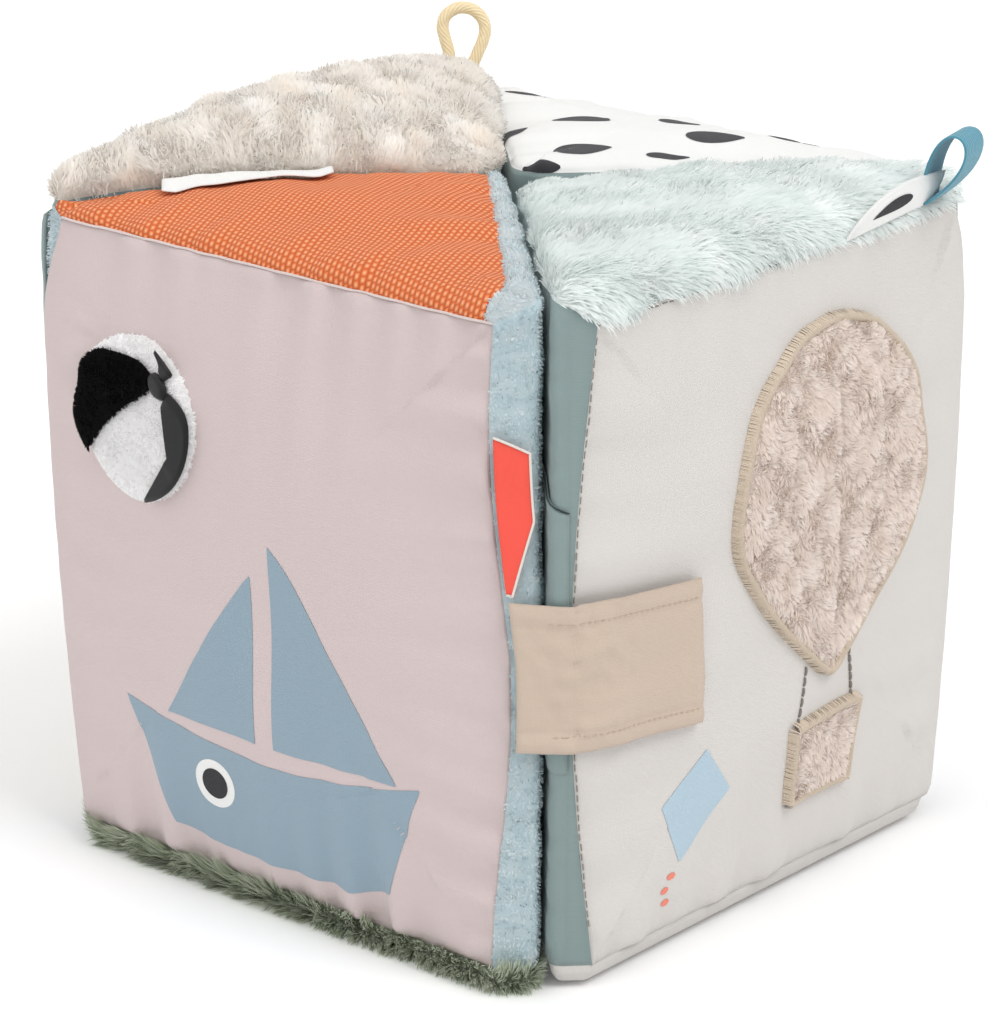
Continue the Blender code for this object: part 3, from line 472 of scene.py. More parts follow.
    def face(
        self, rows: int = 130, columns: int = 130, wrap_low: float = 0, wrap_high: float = 0
    ) -> Surface:
        """The outer face, as a crowned grid from its foot up.

        Args:
            rows: How many rows the grid has.
            columns: How many columns lie on the face itself.
            wrap_low: How much of the low corner's cut the cloth reaches over.
            wrap_high: The same for the high corner.

        Returns:
            The face's grid. Its first column on the face itself is kept with it.
        """
        level = np.linspace(0, 1, rows)[:, None]
        across = np.linspace(-1, 1, columns)[None]
        low, high = self.edge(-1, level), self.edge(1, level)
        place = low + (high - low) * ((across + 1) / 2)[..., None]
        crown = SIZES.face_crown * dome(across) * dome(2 * level - 1)
        plan = np.stack([place[..., 0] + crown, place[..., 1]], -1)
        first = 0
        if wrap_low:
            around = self.wrapped(-1, wrap_low, level)[:, ::-1]
            first = around.shape[1]
            plan = np.concatenate([around, plan], 1)
        if wrap_high:
            plan = np.concatenate([plan, self.wrapped(1, wrap_high, level)], 1)
        for _ in range(self.wrap_smoothing if wrap_low or wrap_high else 0):
            plan[:, 1:-1] = (plan[:, :-2] + plan[:, 1:-1] * 2 + plan[:, 2:]) / 4
        steps = np.linalg.norm(np.diff(plan, axis=1), axis=-1)
        passed = np.concatenate([np.zeros((rows, 1)), np.cumsum(steps, 1)], 1)
        passed = passed - passed[:, first:first + 1] + low[..., 1]
        height = np.broadcast_to(self.height(level), passed.shape)
        own = np.concatenate([plan, height[..., None]], -1)
        surface = Surface(self.world(own), np.stack([passed, height], -1), self.inside())
        surface.first_column, surface.face_columns = first, columns
        return surface

    def walls(self, rows: int = 90) -> Surface:
        """Both cuts and both inner walls, as one grid from the low face edge to the high one."""
        level = np.linspace(0, 1, rows)
        low, low_walled = self.half_wall(-1, level)
        high, high_walled = self.half_wall(1, level)
        line = np.concatenate([low, high[:, -2::-1]], 1)
        walled = np.concatenate([low_walled, high_walled[-2::-1]])
        height = self.height(level[:, None], walled[None])
        passed = passed_along(line[rows // 2])
        flat = np.stack(np.broadcast_arrays(passed[None], height), -1)
        own = np.concatenate([line, height[..., None]], -1)
        return Surface(self.world(own), flat, self.inside())

    def end(self, level: float, crown: float, columns: int = 110) -> Surface:
        """The top, or at level 0 the underside, as rows from the inner edge out to the face."""
        low, low_walled = self.half_wall(-1, np.array([level]))
        high, high_walled = self.half_wall(1, np.array([level]))
        low, high = low[0, ::-1], high[0, ::-1]
        low_walled, high_walled = low_walled[::-1], high_walled[::-1]
        share = np.linspace(0, 1, columns)[None]
        plan = low[:, None] + (high - low)[:, None] * share[..., None]
        walled = low_walled[:, None] + (high_walled - low_walled)[:, None] * share
        reach = (plan[..., 0] - plan[0, 0, 0]) / (plan[-1, :, 0].mean() - plan[0, 0, 0])
        swell = crown * dome(2 * share - 1) * dome(np.clip(2 * reach - 1, -1, 1))
        height = self.height(level, walled) + swell
        own = np.concatenate([plan, height[..., None]], -1)
        return Surface(self.world(own), plan, self.inside())

    def underside(self) -> Surface:
        """The underside: it rolls from its seams down to the floor, where it lies flat."""
        surface = self.end(0, 0)
        rise = 1 - quarter_round(surface.distance / self.underside_roll)
        surface.points[..., 2] = SIZES.foot * rise
        SeamLook().draw(surface, self)
        return surface

    def inside(self) -> Array:
        """A point in the middle of the stuffing."""
        return self.world(np.array([self.middle_depth, 0.0, SIZES.top / 2]))

    def inward(self, points: Array) -> Array:
        """The way from points on the cover to the stuffing well inside it."""
        margin = self.stuffing_margin
        turned = WedgeShape(-self.turn, self.low, self.high)
        own = turned.world(points - np.array(SIZES.centre)) - np.array(SIZES.centre)
        diagonal = margin * math.sqrt(2)
        x = np.clip(own[..., 0], diagonal + 0.002, SIZES.side / 2 - margin)
        y = np.clip(own[..., 1], diagonal - x, x - diagonal)
        z = np.clip(own[..., 2], SIZES.foot + margin, SIZES.top - margin)
        return unit(self.world(np.stack([x, y, z], -1)) - points)

    def spot(self, surface: Surface, along: Array, height: Array, lift: Array | float = 0) -> Array:
        """Points on the face, some way along it and up it, lifted off the cloth.

        Args:
            surface: The face's grid.
            along: Distance from the face's middle towards its high end.
            height: Height over the floor.
            lift: Distance off the cloth.

        Returns:
            Points in the world.
        """
        level = SIZES.level(height)
        low, high = self.edge(-1, level)[..., 1], self.edge(1, level)[..., 1]
        rows = surface.points.shape[0]
        share = (along - low) / (high - low)
        column = surface.first_column + share * (surface.face_columns - 1)
        return surface.at(level * (rows - 1), column, lift)


PINK = WedgeShape(225, LEFT, FRONT_PINK)
MINT = WedgeShape(315, FRONT_MINT, RIGHT, sag=0.45)
DOTS = WedgeShape(45, RIGHT, BACK)
BEIGE = WedgeShape(135, BACK, LEFT)


# Mesh making

def linked(name: str, data: bpy.types.ID) -> bpy.types.Object:
    """An object with its data, in the scene."""
    made = bpy.data.objects.new(name, data)
    bpy.context.scene.collection.objects.link(made)
    return made


def add_piece(
    name: str,
    points: Array,
    faces: list,
    flat: Array | None = None,
    marks: dict[str, Array] | None = None,
) -> bpy.types.Object:
    """Makes one mesh piece.

    Args:
        name: The piece's name.
        points: Its points, N by 3.
        faces: Its faces, as lists of point numbers.
        flat: Each point's place on the cloth, kept as the mesh's map, in metres.
        marks: Values for each point, kept by name for the material to read. Where no seam
            mark is given, no point counts as near a seam.

    Returns:
        The piece, linked to the scene.
    """
    mesh = bpy.data.meshes.new(name)
    mesh.from_pydata(points.tolist(), [], faces)
    if flat is not None:
        layer = mesh.uv_layers.new(name="cloth")
        loops = np.zeros(len(mesh.loops), int)
        mesh.loops.foreach_get("vertex_index", loops)
        layer.data.foreach_set("uv", flat[loops].astype(float).ravel())
    for key, values in {"seam": np.zeros(len(points)), **(marks or {})}.items():
        attribute = mesh.attributes.new(key, "FLOAT", "POINT")
        attribute.data.foreach_set("value", np.asarray(values, float).ravel())
    mesh.shade_smooth()
    return linked(name, mesh)


class MeshParts:
    """One piece's points and faces, gathered part by part."""

    def __init__(self) -> None:
        """Starts with no part."""
        self.points: list[Array] = []
        self.flats: list[Array] = []
        self.faces: list = []
        self.count = 0

    def add(self, points: Array, faces: list, flat: Array) -> None:
        """Adds a part, whose faces number its own points from 0."""
        self.faces += [[number + self.count for number in face] for face in faces]
        self.points.append(points)
        self.flats.append(flat)
        self.count += len(points)

    def piece(self, name: str) -> bpy.types.Object:
        """Makes the piece from all its parts."""
        return add_piece(
            name, np.concatenate(self.points), self.faces, np.concatenate(self.flats)
        )


def grid_faces(rows: int, columns: int, start: int = 0, closed: bool = False) -> list:
    """Faces between the points of a grid, which may close round its columns."""
    row, column = np.meshgrid(
        np.arange(rows - 1), np.arange(columns if closed else columns - 1), indexing="ij"
    )
    after = (column + 1) % columns
    corners = [row * columns + column, row * columns + after,
               (row + 1) * columns + after, (row + 1) * columns + column]
    return (np.stack(corners, -1).reshape(-1, 4) + start).tolist()


def panel(name: str, surface: Surface, rim: float = 0.0014) -> bpy.types.Object:
    """A sewn panel: the surface's grid, with its raw edge turned in behind the seam."""
    seam_shade = 0.004
    rows, columns = surface.points.shape[:2]
    points, flat = surface.points.reshape(-1, 3), surface.flat.reshape(-1, 2)
    ring = border_of(np.arange(rows * columns).reshape(rows, columns))
    turned = points[ring] - surface.normals.reshape(-1, 3)[ring] * rim
    turned += unit((surface.inside - turned) * LEVEL_WAY) * rim
    inner = len(points) + np.arange(len(ring))
    faces = grid_faces(rows, columns)
    faces += np.stack([ring, inner, np.roll(inner, -1), np.roll(ring, -1)], -1).tolist()
    if surface.flipped:
        faces = [face[::-1] for face in faces]
    # The seam mark: where the material paints shade near the seams.
    near = np.exp(-surface.distance / seam_shade).ravel()
    return add_piece(name, np.concatenate([points, turned]), faces,
                     np.concatenate([flat, flat[ring]]),
                     {"seam": np.concatenate([near, near[ring]])})


def thick_sheet(
    name: str, outer: Array, normals: Array, thickness: float, flat: Array
) -> bpy.types.Object:
    """A closed thin sheet with a soft rolled edge, from its outer grid of points.

    Args:
        name: The piece's name.
        outer: Rows, columns and three coordinates.
        normals: The way out at each point.
        thickness: The cloth's thickness.
        flat: Each point's place on the cloth.

    Returns:
        The piece.
    """
    edge_tuck = 0.32
    rows, columns = outer.shape[:2]
    away = np.minimum(
        np.minimum(np.arange(rows), np.arange(rows)[::-1])[:, None],
        np.minimum(np.arange(columns), np.arange(columns)[::-1])[None],
    )
    tuck = np.where(away == 0, thickness * edge_tuck, 0.0)[..., None]
    top = outer - normals * tuck
    under = outer - normals * (thickness - tuck)
    count = rows * columns
    faces = grid_faces(rows, columns)
    faces += [face[::-1] for face in grid_faces(rows, columns, count)]
    ring = border_of(np.arange(count).reshape(rows, columns))
    after = np.roll(ring, -1)
    faces += np.stack([after, ring, ring + count, after + count], -1).tolist()
    normal = np.cross(outer[0, 1] - outer[0, 0], outer[1, 0] - outer[0, 0])
    if (normal * normals[0, 0]).sum() < 0:
        faces = [face[::-1] for face in faces]
    places = flat.reshape(-1, 2)
    # The seam mark on the rolled edge, where the material paints shade.
    return add_piece(
        name, np.concatenate([top.reshape(-1, 3), under.reshape(-1, 3)]), faces,
        np.concatenate([places, places]), {"seam": np.tile(np.exp(-away.ravel()), 2)},
    )


def grid_normals(points: Array, toward: Array) -> Array:
    """Normals of a grid of points, turned to the side of a given direction."""
    normals = unit(np.cross(np.gradient(points, axis=1), np.gradient(points, axis=0)))
    sign = np.sign((normals * toward).sum(-1, keepdims=True).mean())
    return normals * sign


def tube(route: Array, radius: Array | float, sides: int = 8) -> tuple[Array, list, Array]:
    """A closed tube along a route.

    Args:
        route: The points of its middle line.
        radius: One radius, or one for each point and side.
        sides: How many points go round it.

    Returns:
        Its points, its faces, and each point's place round and along it.
    """
    askew = np.array([0.31, 0.2, 0.93])
    tangents = unit(np.gradient(route, axis=0))
    side = np.zeros_like(route)
    side[0] = unit(np.cross(tangents[0], askew))
    for index in range(1, len(route)):
        carried = side[index - 1] - tangents[index] * (side[index - 1] @ tangents[index])
        side[index] = unit(carried)
    other = np.cross(tangents, side)
    angles = np.linspace(0, 2 * math.pi, sides, endpoint=False)
    reach = np.broadcast_to(radius, (len(route), sides))[..., None]
    cos, sin = np.cos(angles)[None, :, None], np.sin(angles)[None, :, None]
    ring = side[:, None] * cos + other[:, None] * sin
    points = (route[:, None] + ring * reach).reshape(-1, 3)
    count = len(points)
    faces = [face[::-1] for face in grid_faces(len(route), sides, closed=True)]
    for index in range(sides):
        after = (index + 1) % sides
        last = count - sides
        faces += [[count, index, after], [count + 1, last + after, last + index]]
    passed = passed_along(route)
    around = np.tile(angles, len(route)) * float(np.mean(radius))
    flat = np.stack([around, np.repeat(passed, sides)], -1)
    return (np.concatenate([points, route[:1], route[-1:]]), faces,
            np.concatenate([flat, [[0, 0]], [[0, passed[-1]]]]))


def smooth_route(points: Array, steps: int) -> Array:
    """Points read from a smooth curve through a route's own points."""
    padded = np.concatenate([[2 * points[0] - points[1]], points, [2 * points[-1] - points[-2]]])
    share = np.linspace(0, 1, steps, endpoint=False)[:, None]
    route = []
    for before, here, after, beyond in zip(padded, padded[1:], padded[2:], padded[3:]):
        route.append(
            here + (after - before) * (share / 2)
            + (before * 2 - here * 5 + after * 4 - beyond) * (share**2 / 2)
            + (here * 3 - before - after * 3 + beyond) * (share**3 / 2)
        )
    return np.concatenate([*route, points[-1:]])


# Fur and plush, as tapered mesh strands

STRAND = ((0, 0.8), (0.42, 1), (0.78, 0.72), (1, 0))
STRAND_POINTS = 2 * len(STRAND) - 1
PATCH_CLUMPS = 2.5


@dataclass(frozen=True)
class Trim:
    """A rectangle of the cloth, in pattern coordinates, where the pile lies pressed down."""

    left: float
    right: float
    low: float
    high: float
    soft: float = 0.002
    keep: float = 0.3

    def share(self, flat: Array) -> Array:
        """How much of its length the pile keeps at each place."""
        outside = np.maximum(
            np.maximum(self.left - flat[:, 0], flat[:, 0] - self.right),
            np.maximum(self.low - flat[:, 1], flat[:, 1] - self.high),
        )
        away = np.clip(outside / self.soft, 0, 1)
        return self.keep + (1 - self.keep) * away


@dataclass(frozen=True)
class Pile:
    """One kind of fur or plush, as it grows from its cloth. Lengths are in metres."""

    length: float
    density: float
    width: float
    clump: float
    pull: float
    lean: float
    flow: tuple[float, float]
    swirl: float
    swirl_size: float
    edge_reach: float = 0.006
    edge_lean: float = 0.6
    stray: float = 0.25
    soft_light: float = 0.5
    spill_from: float = -1.0
    spill_soft: float = 0.002
    length_range: tuple[float, float] = (0.72, 1.1)
    edge_trim: float = 0.25
    edge_trim_reach: float = 0.0025
    bow: float = 0.22
    twist: float = 0.25
    patchy: float = 0.28
    tint_stray: float = 0.16

    def grow(
        self, surface: Surface, seed: int, trims: tuple[Trim, ...] = ()
    ) -> tuple[Array, list, dict[str, Array], Array]:
        """Grows the strands of one panel.

        Args:
            surface: The cloth that they grow from.
            seed: Chooses their places.
            trims: Where the pile lies pressed down.

        Returns:
            The points, the faces, the tip and tint marks and the normal for each point.
        """
        rng = np.random.default_rng(seed)
        grid = surface.points
        area = np.linalg.norm(
            np.cross(grid[1:, :-1] - grid[:-1, :-1], grid[:-1, 1:] - grid[:-1, :-1]), axis=-1
        )
        count = int(area.sum() * self.density * 1e6)
        cells = rng.choice(area.size, count, p=area.ravel() / area.sum())
        row = cells // area.shape[1] + rng.random(count)
        column = cells % area.shape[1] + rng.random(count)
        root, flat, distance = (
            surface.read(values, row, column)
            for values in (grid, surface.flat, surface.distance)
        )
        normal, first, second = (
            unit(surface.read(values, row, column))
            for values in (surface.normals, surface.first, surface.second)
        )

        toward = self._clumps(flat, rng)
        lean = np.array(self.flow)[None] * np.ones((count, 1))
        for axis in range(2):
            lean[:, axis] += self.swirl * ripples(flat, self.swirl_size, seed + 3 + axis)
        lean += rng.normal(0, self.stray, (count, 2))
        outward = flat - surface.flat.reshape(-1, 2).mean(0)
        spill = 1 / (1 + np.exp(-(flat[:, :1] - self.spill_from) / self.spill_soft))
        edge = np.exp(-distance / self.edge_reach)[:, None] * self.edge_lean * spill
        lean = lean * self.lean + unit(outward) * edge
        lean3 = first * lean[:, :1] + second * lean[:, 1:]
        pulled = first * toward[:, :1] + second * toward[:, 1:]
        length = self.length * rng.uniform(*self.length_range, count)[:, None]
        trimmed = 1 - self.edge_trim * np.exp(-distance / self.edge_trim_reach)
        length = length * trimmed[:, None]
        for trim in trims:
            length = length * trim.share(flat)[:, None]
        spin = unit(rng.normal(size=(count, 3)))
        lines = []
        for share, _ in STRAND:
            rise = share * (1 - self.bow * share * np.minimum(1, np.linalg.norm(lean, axis=1)))
            lines.append(
                root + normal * rise[:, None] * length + lean3 * share**1.5 * length
                + pulled * (self.pull * share**2)
            )
        rising = unit(lines[-1] - lines[0])
        flatwise = unit(np.cross(normal, rising) + self.twist * np.cross(spin, rising))
        flatwise = flatwise * (self.width / 2)
        points = np.zeros((count, STRAND_POINTS, 3))
        for index, (line, (_, width)) in enumerate(zip(lines[:-1], STRAND)):
            points[:, 2 * index] = line - flatwise * width
            points[:, 2 * index + 1] = line + flatwise * width
        points[:, -1] = lines[-1]
        base = np.arange(count)[:, None] * STRAND_POINTS
        faces = np.concatenate([base + [0, 2, 3, 1], base + [2, 4, 5, 3]]).tolist()
        faces += (base + [4, 6, 5]).tolist()
        tip = np.tile([share for share, _ in STRAND for _ in range(2)][:-1], count)
        patch = 0.5 + self.patchy * ripples(flat, self.clump * PATCH_CLUMPS, seed + 9)
        tint = np.clip(patch + rng.normal(0, self.tint_stray, count), 0, 1)
        marks = {"tip": tip, "tint": np.repeat(tint, STRAND_POINTS)}
        ribbon = unit(np.cross(rising, flatwise))
        lit = unit(normal * self.soft_light + ribbon * (1 - self.soft_light))
        return points.reshape(-1, 3), faces, marks, np.repeat(lit, STRAND_POINTS, 0)

    def _clumps(self, flat: Array, rng: np.random.Generator) -> Array:
        """For each strand, the way over the cloth to the middle of its clump."""
        table_size, across_prime, up_prime = 4096, 7919, 104729
        table = rng.random((table_size, 2))
        cell = np.floor(flat / self.clump).astype(int)
        best = np.full(len(flat), np.inf)
        toward = np.zeros_like(flat)
        for aside, up in ((a, u) for a in (-1, 0, 1) for u in (-1, 0, 1)):
            near = cell + [aside, up]
            jitter = table[(near[:, 0] * across_prime + near[:, 1] * up_prime) % table_size]
            offset = (near + jitter) * self.clump - flat
            away = np.linalg.norm(offset, axis=1)
            closer = away < best
            best[closer] = away[closer]
            toward[closer] = offset[closer]
        return toward


def furred(
    name: str, surface: Surface, pile: Pile, seed: int, trims: tuple[Trim, ...] = ()
) -> bpy.types.Object:
    """A panel of cloth with its fur or plush, as one piece that stays over the floor."""
    # root_tip: the cloth under the pile shows almost the painted root shade.
    floor_clear, floor_spread, root_tip, patchy = 0.0002, 0.08, 0.12, 0.3
    rows, columns = surface.points.shape[:2]
    base, places = surface.points.reshape(-1, 3), surface.flat.reshape(-1, 2)
    faces = grid_faces(rows, columns)
    if surface.flipped:
        faces = [face[::-1] for face in faces]
    points, strands, marks, lit = pile.grow(surface, seed, trims)
    low = np.minimum(points[:, 2], 0.0)
    points[:, 2] = np.maximum(points[:, 2], floor_clear) - low * floor_spread
    start = len(base)
    moved = [[number + start for number in face] for face in strands]
    tint = 0.5 + patchy * ripples(places, pile.clump * PATCH_CLUMPS, seed + 9)
    piece = add_piece(
        name, np.concatenate([base, points]), faces + moved,
        np.concatenate([places, np.zeros((len(points), 2))]),
        {"tip": np.concatenate([np.full(start, root_tip), marks["tip"]]),
         "tint": np.concatenate([tint, marks["tint"]])},
    )
    piece.data.normals_split_custom_set_from_vertices(
        np.concatenate([surface.normals.reshape(-1, 3), lit])
    )
    return piece


def furred(
    name: str, surface: Surface, pile: Pile, seed: int, trims: tuple[Trim, ...] = ()
) -> bpy.types.Object:
    """A panel of cloth with its fur or plush, as one piece."""
    rows, columns = surface.points.shape[:2]
    base = surface.points.reshape(-1, 3)
    faces = grid_faces(rows, columns)
    if surface.flipped:
        faces = [face[::-1] for face in faces]
    points, strands, marks, lit = pile.grow(surface, seed, trims)
    low = np.minimum(points[:, 2], 0.0)
    points[:, 2] = np.maximum(points[:, 2], 0.0002) - low * 0.08
    start = len(base)
    moved = [[number + start for number in face] for face in strands]
    tint = 0.5 + 0.3 * ripples(surface.flat.reshape(-1, 2), pile.clump * 2.5, seed + 9)
    flat = np.concatenate([surface.flat.reshape(-1, 2), np.zeros((len(points), 2))])
    # The cloth under the pile takes a low tip mark, so it shows almost the painted root shade.
    piece = add_piece(
        name, np.concatenate([base, points]), faces + moved, flat,
        {"tip": np.concatenate([np.full(start, 0.12), marks["tip"]]),
         "tint": np.concatenate([tint, marks["tint"]]),
         "seam": np.zeros(start + len(points))},
    )
    piece.data.normals_split_custom_set_from_vertices(
        np.concatenate([surface.normals.reshape(-1, 3), lit])
    )
    return piece


# Shader building

class Nodes:
    """Adds nodes to one tree and joins them."""

    def __init__(self, tree: bpy.types.NodeTree) -> None:
        """Keeps the tree."""
        self.tree = tree

    def add(
        self, kind: str, inputs: dict[str | int, object] | None = None, **settings: object
    ) -> bpy.types.Node:
        """Adds a node of a kind, with its settings and with what goes into its inputs."""
        node = self.tree.nodes.new(kind)
        for key, value in settings.items():
            setattr(node, key, value)
        return self.fill(node, inputs or {})

    def fill(self, node: bpy.types.Node, inputs: dict[str | int, object]) -> bpy.types.Node:
        """Sets a node's inputs to values, or joins them to other nodes' outputs."""
        for key, value in inputs.items():
            if isinstance(value, bpy.types.NodeSocket):
                self.tree.links.new(value, node.inputs[key])
            elif value is not None:
                node.inputs[key].default_value = value
        return node

    def math(self, operation: str, *values: object) -> bpy.types.NodeSocket:
        """The result of a sum on numbers or sockets."""
        inputs = dict(enumerate(values))
        return self.add("ShaderNodeMath", inputs, operation=operation).outputs[0]

    def noise(self, place: object, scale: object, detail: float = 2.0) -> bpy.types.NodeSocket:
        """Soft noise between 0 and 1."""
        inputs = {"Vector": place, "Scale": scale, "Detail": detail}
        return self.add("ShaderNodeTexNoise", inputs).outputs["Fac"]

    def mix(self, share: object, first: object, second: object) -> bpy.types.NodeSocket:
        """A colour between two."""
        node = self.add("ShaderNodeMix", data_type="RGBA")
        self.fill(node, {"Factor": share, 6: first, 7: second})
        return node.outputs[2]

    def scaled(self, colour: object, amount: object) -> bpy.types.NodeSocket:
        """A colour or a place made larger or smaller by a number."""
        inputs = {0: colour, "Scale": amount}
        return self.add("ShaderNodeVectorMath", inputs, operation="SCALE").outputs[0]

    def attribute(self, mark: str) -> bpy.types.NodeSocket:
        """The mesh's own mark of a name."""
        return self.add("ShaderNodeAttribute", attribute_name=mark).outputs["Fac"]


class Relief(Enum):
    """The kinds of cloth relief, each a node group that is made once."""

    WOVEN = "woven_relief"
    KNITTED = "knitted_relief"
    RIBBED = "ribbed_relief"
    TWISTED = "twisted_relief"


def new_group(name: str, inputs: dict[str, str], outputs: dict[str, str]) -> tuple:
    """Starts a node group.

    Args:
        name: The group's name.
        inputs: Its inputs' names and socket kinds.
        outputs: Its outputs' names and socket kinds.

    Returns:
        The group, its node builder, its input node and its output node.
    """
    group = bpy.data.node_groups.new(name, "ShaderNodeTree")
    for label, kind in inputs.items():
        group.interface.new_socket(label, in_out="INPUT", socket_type=kind)
    for label, kind in outputs.items():
        group.interface.new_socket(label, in_out="OUTPUT", socket_type=kind)
    nodes = Nodes(group)
    return group, nodes, nodes.add("NodeGroupInput"), nodes.add("NodeGroupOutput")


def relief_group(relief: Relief) -> bpy.types.NodeTree:
    """The node group of one relief: it turns a place on the cloth into a height and a shade."""
    known = bpy.data.node_groups.get(relief.value)
    if known:
        return known
    group, nodes, start, end = new_group(
        relief.value,
        {"Place": "NodeSocketVector", "Spacing": "NodeSocketFloat"},
        {"Height": "NodeSocketFloat", "Shade": "NodeSocketFloat"},
    )
    rate = nodes.math("DIVIDE", 1.0, start.outputs["Spacing"])
    split = nodes.add("ShaderNodeSeparateXYZ", {0: nodes.scaled(start.outputs["Place"], rate)})
    x, y = split.outputs[0], split.outputs[1]

    def arch(value: object) -> bpy.types.NodeSocket:
        """A row of round arches, one for each whole number."""
        return nodes.math("ABSOLUTE", nodes.math("SINE", nodes.math("MULTIPLY", value, math.pi)))

    def over(value: object, row: object, offset: float) -> bpy.types.NodeSocket:
        """Where a thread passes over: it swaps from each row to the next."""
        turn = nodes.math("ADD", nodes.math("FLOOR", row), offset)
        wave = nodes.math("SINE", nodes.math("MULTIPLY", nodes.math("ADD", value, turn), math.pi))
        return nodes.math("MULTIPLY_ADD", wave, 0.5, 0.5)

    if relief is Relief.WOVEN:
        warp = nodes.math("MULTIPLY", arch(x), over(y, x, 0.0))
        weft = nodes.math("MULTIPLY", arch(y), over(x, y, 1.0))
        height = nodes.math("MAXIMUM", warp, weft)
    elif relief is Relief.KNITTED:
        odd = nodes.math("FLOORED_MODULO", nodes.math("FLOOR", y), 2.0)
        bead = arch(nodes.math("ADD", x, nodes.math("MULTIPLY", odd, 0.5)))
        height = nodes.math("MULTIPLY", arch(y), bead)
        height = nodes.math("MULTIPLY_ADD", height, 0.85, nodes.math("MULTIPLY", arch(y), 0.15))
    elif relief is Relief.RIBBED:
        height = nodes.math("MULTIPLY_ADD", arch(nodes.math("MULTIPLY", y, 3.0)), 0.12, arch(x))
    else:
        height = arch(nodes.math("ADD", x, nodes.math("MULTIPLY", y, 0.6)))
    shade = nodes.math("MULTIPLY_ADD", height, 0.5, 0.5)
    nodes.fill(end, {"Height": height, "Shade": shade})
    return group


def mottle_and_shade_group() -> bpy.types.NodeTree:
    """The node group that mottles a cloth's colour and paints shade near seams and in its relief.
    """
    known = bpy.data.node_groups.get("mottled_and_shaded_cloth")
    if known:
        return known
    group, nodes, start, end = new_group(
        "mottled_and_shaded_cloth",
        {"Colour": "NodeSocketColor", "Place": "NodeSocketVector", "Shade": "NodeSocketFloat",
         "Seam": "NodeSocketFloat", "Mottle": "NodeSocketFloat", "Relief": "NodeSocketFloat",
         "Painted Seam Shade": "NodeSocketFloat"},
        {"Colour": "NodeSocketColor"},
    )
    taken = start.outputs
    broad = nodes.noise(taken["Place"], 45.0, 3.0)
    fine = nodes.noise(taken["Place"], 900.0, 2.0)
    both = nodes.math("MULTIPLY_ADD", fine, 0.5, nodes.math("MULTIPLY", broad, 0.5))
    mottle = nodes.math("MULTIPLY", nodes.math("SUBTRACT", both, 0.5), taken["Mottle"])
    # Painted shade in the relief's grooves: where the relief is low, the colour is made darker and
    # deeper.
    drop = nodes.math("MULTIPLY", nodes.math("SUBTRACT", 1.0, taken["Shade"]), taken["Relief"])
    # Painted shade near the seams, read from the mesh's seam mark.
    painted_seam_darkening = nodes.math("MULTIPLY", taken["Seam"], taken["Painted Seam Shade"])
    level = nodes.math("ADD", 1.0, mottle)
    for loss in (nodes.math("MULTIPLY", drop, 0.45), painted_seam_darkening):
        level = nodes.math("SUBTRACT", level, loss)
    gamma = nodes.math("MULTIPLY_ADD", drop, 1.6, 1.0)
    deep = nodes.add("ShaderNodeGamma", {"Color": taken["Colour"], "Gamma": gamma})
    nodes.fill(end, {"Colour": nodes.scaled(deep.outputs[0], level)})
    return group


def pile_group() -> bpy.types.NodeTree:
    """The node group that colours fur from painted shade at its roots to its tips."""
    known = bpy.data.node_groups.get("pile_colour")
    if known:
        return known
    group, nodes, start, end = new_group(
        "pile_colour",
        {"Root Shade": "NodeSocketColor", "Light": "NodeSocketColor", "Dark": "NodeSocketColor",
         "Tip": "NodeSocketFloat", "Tint": "NodeSocketFloat"},
        {"Colour": "NodeSocketColor"},
    )
    taken = start.outputs
    blend = nodes.mix(taken["Tint"], taken["Dark"], taken["Light"])
    share = nodes.math("POWER", taken["Tip"], 0.7)
    nodes.fill(end, {"Colour": nodes.mix(share, taken["Root Shade"], blend)})
    return group


def linear(red: float, green: float, blue: float) -> tuple[float, float, float, float]:
    """A screen colour from 0 to 255, as the light values that shaders take."""
    values = []
    for part in (red, green, blue):
        share = part / 255
        values.append(share / 12.92 if share < 0.04045 else ((share + 0.055) / 1.055) ** 2.4)
    return (*values, 1.0)


def new_material(name: str) -> tuple[bpy.types.Material, Nodes, bpy.types.Node]:
    """A new material, its node builder and its surface shader."""
    made = bpy.data.materials.new(name)
    made.use_nodes = True
    return made, Nodes(made.node_tree), made.node_tree.nodes["Principled BSDF"]


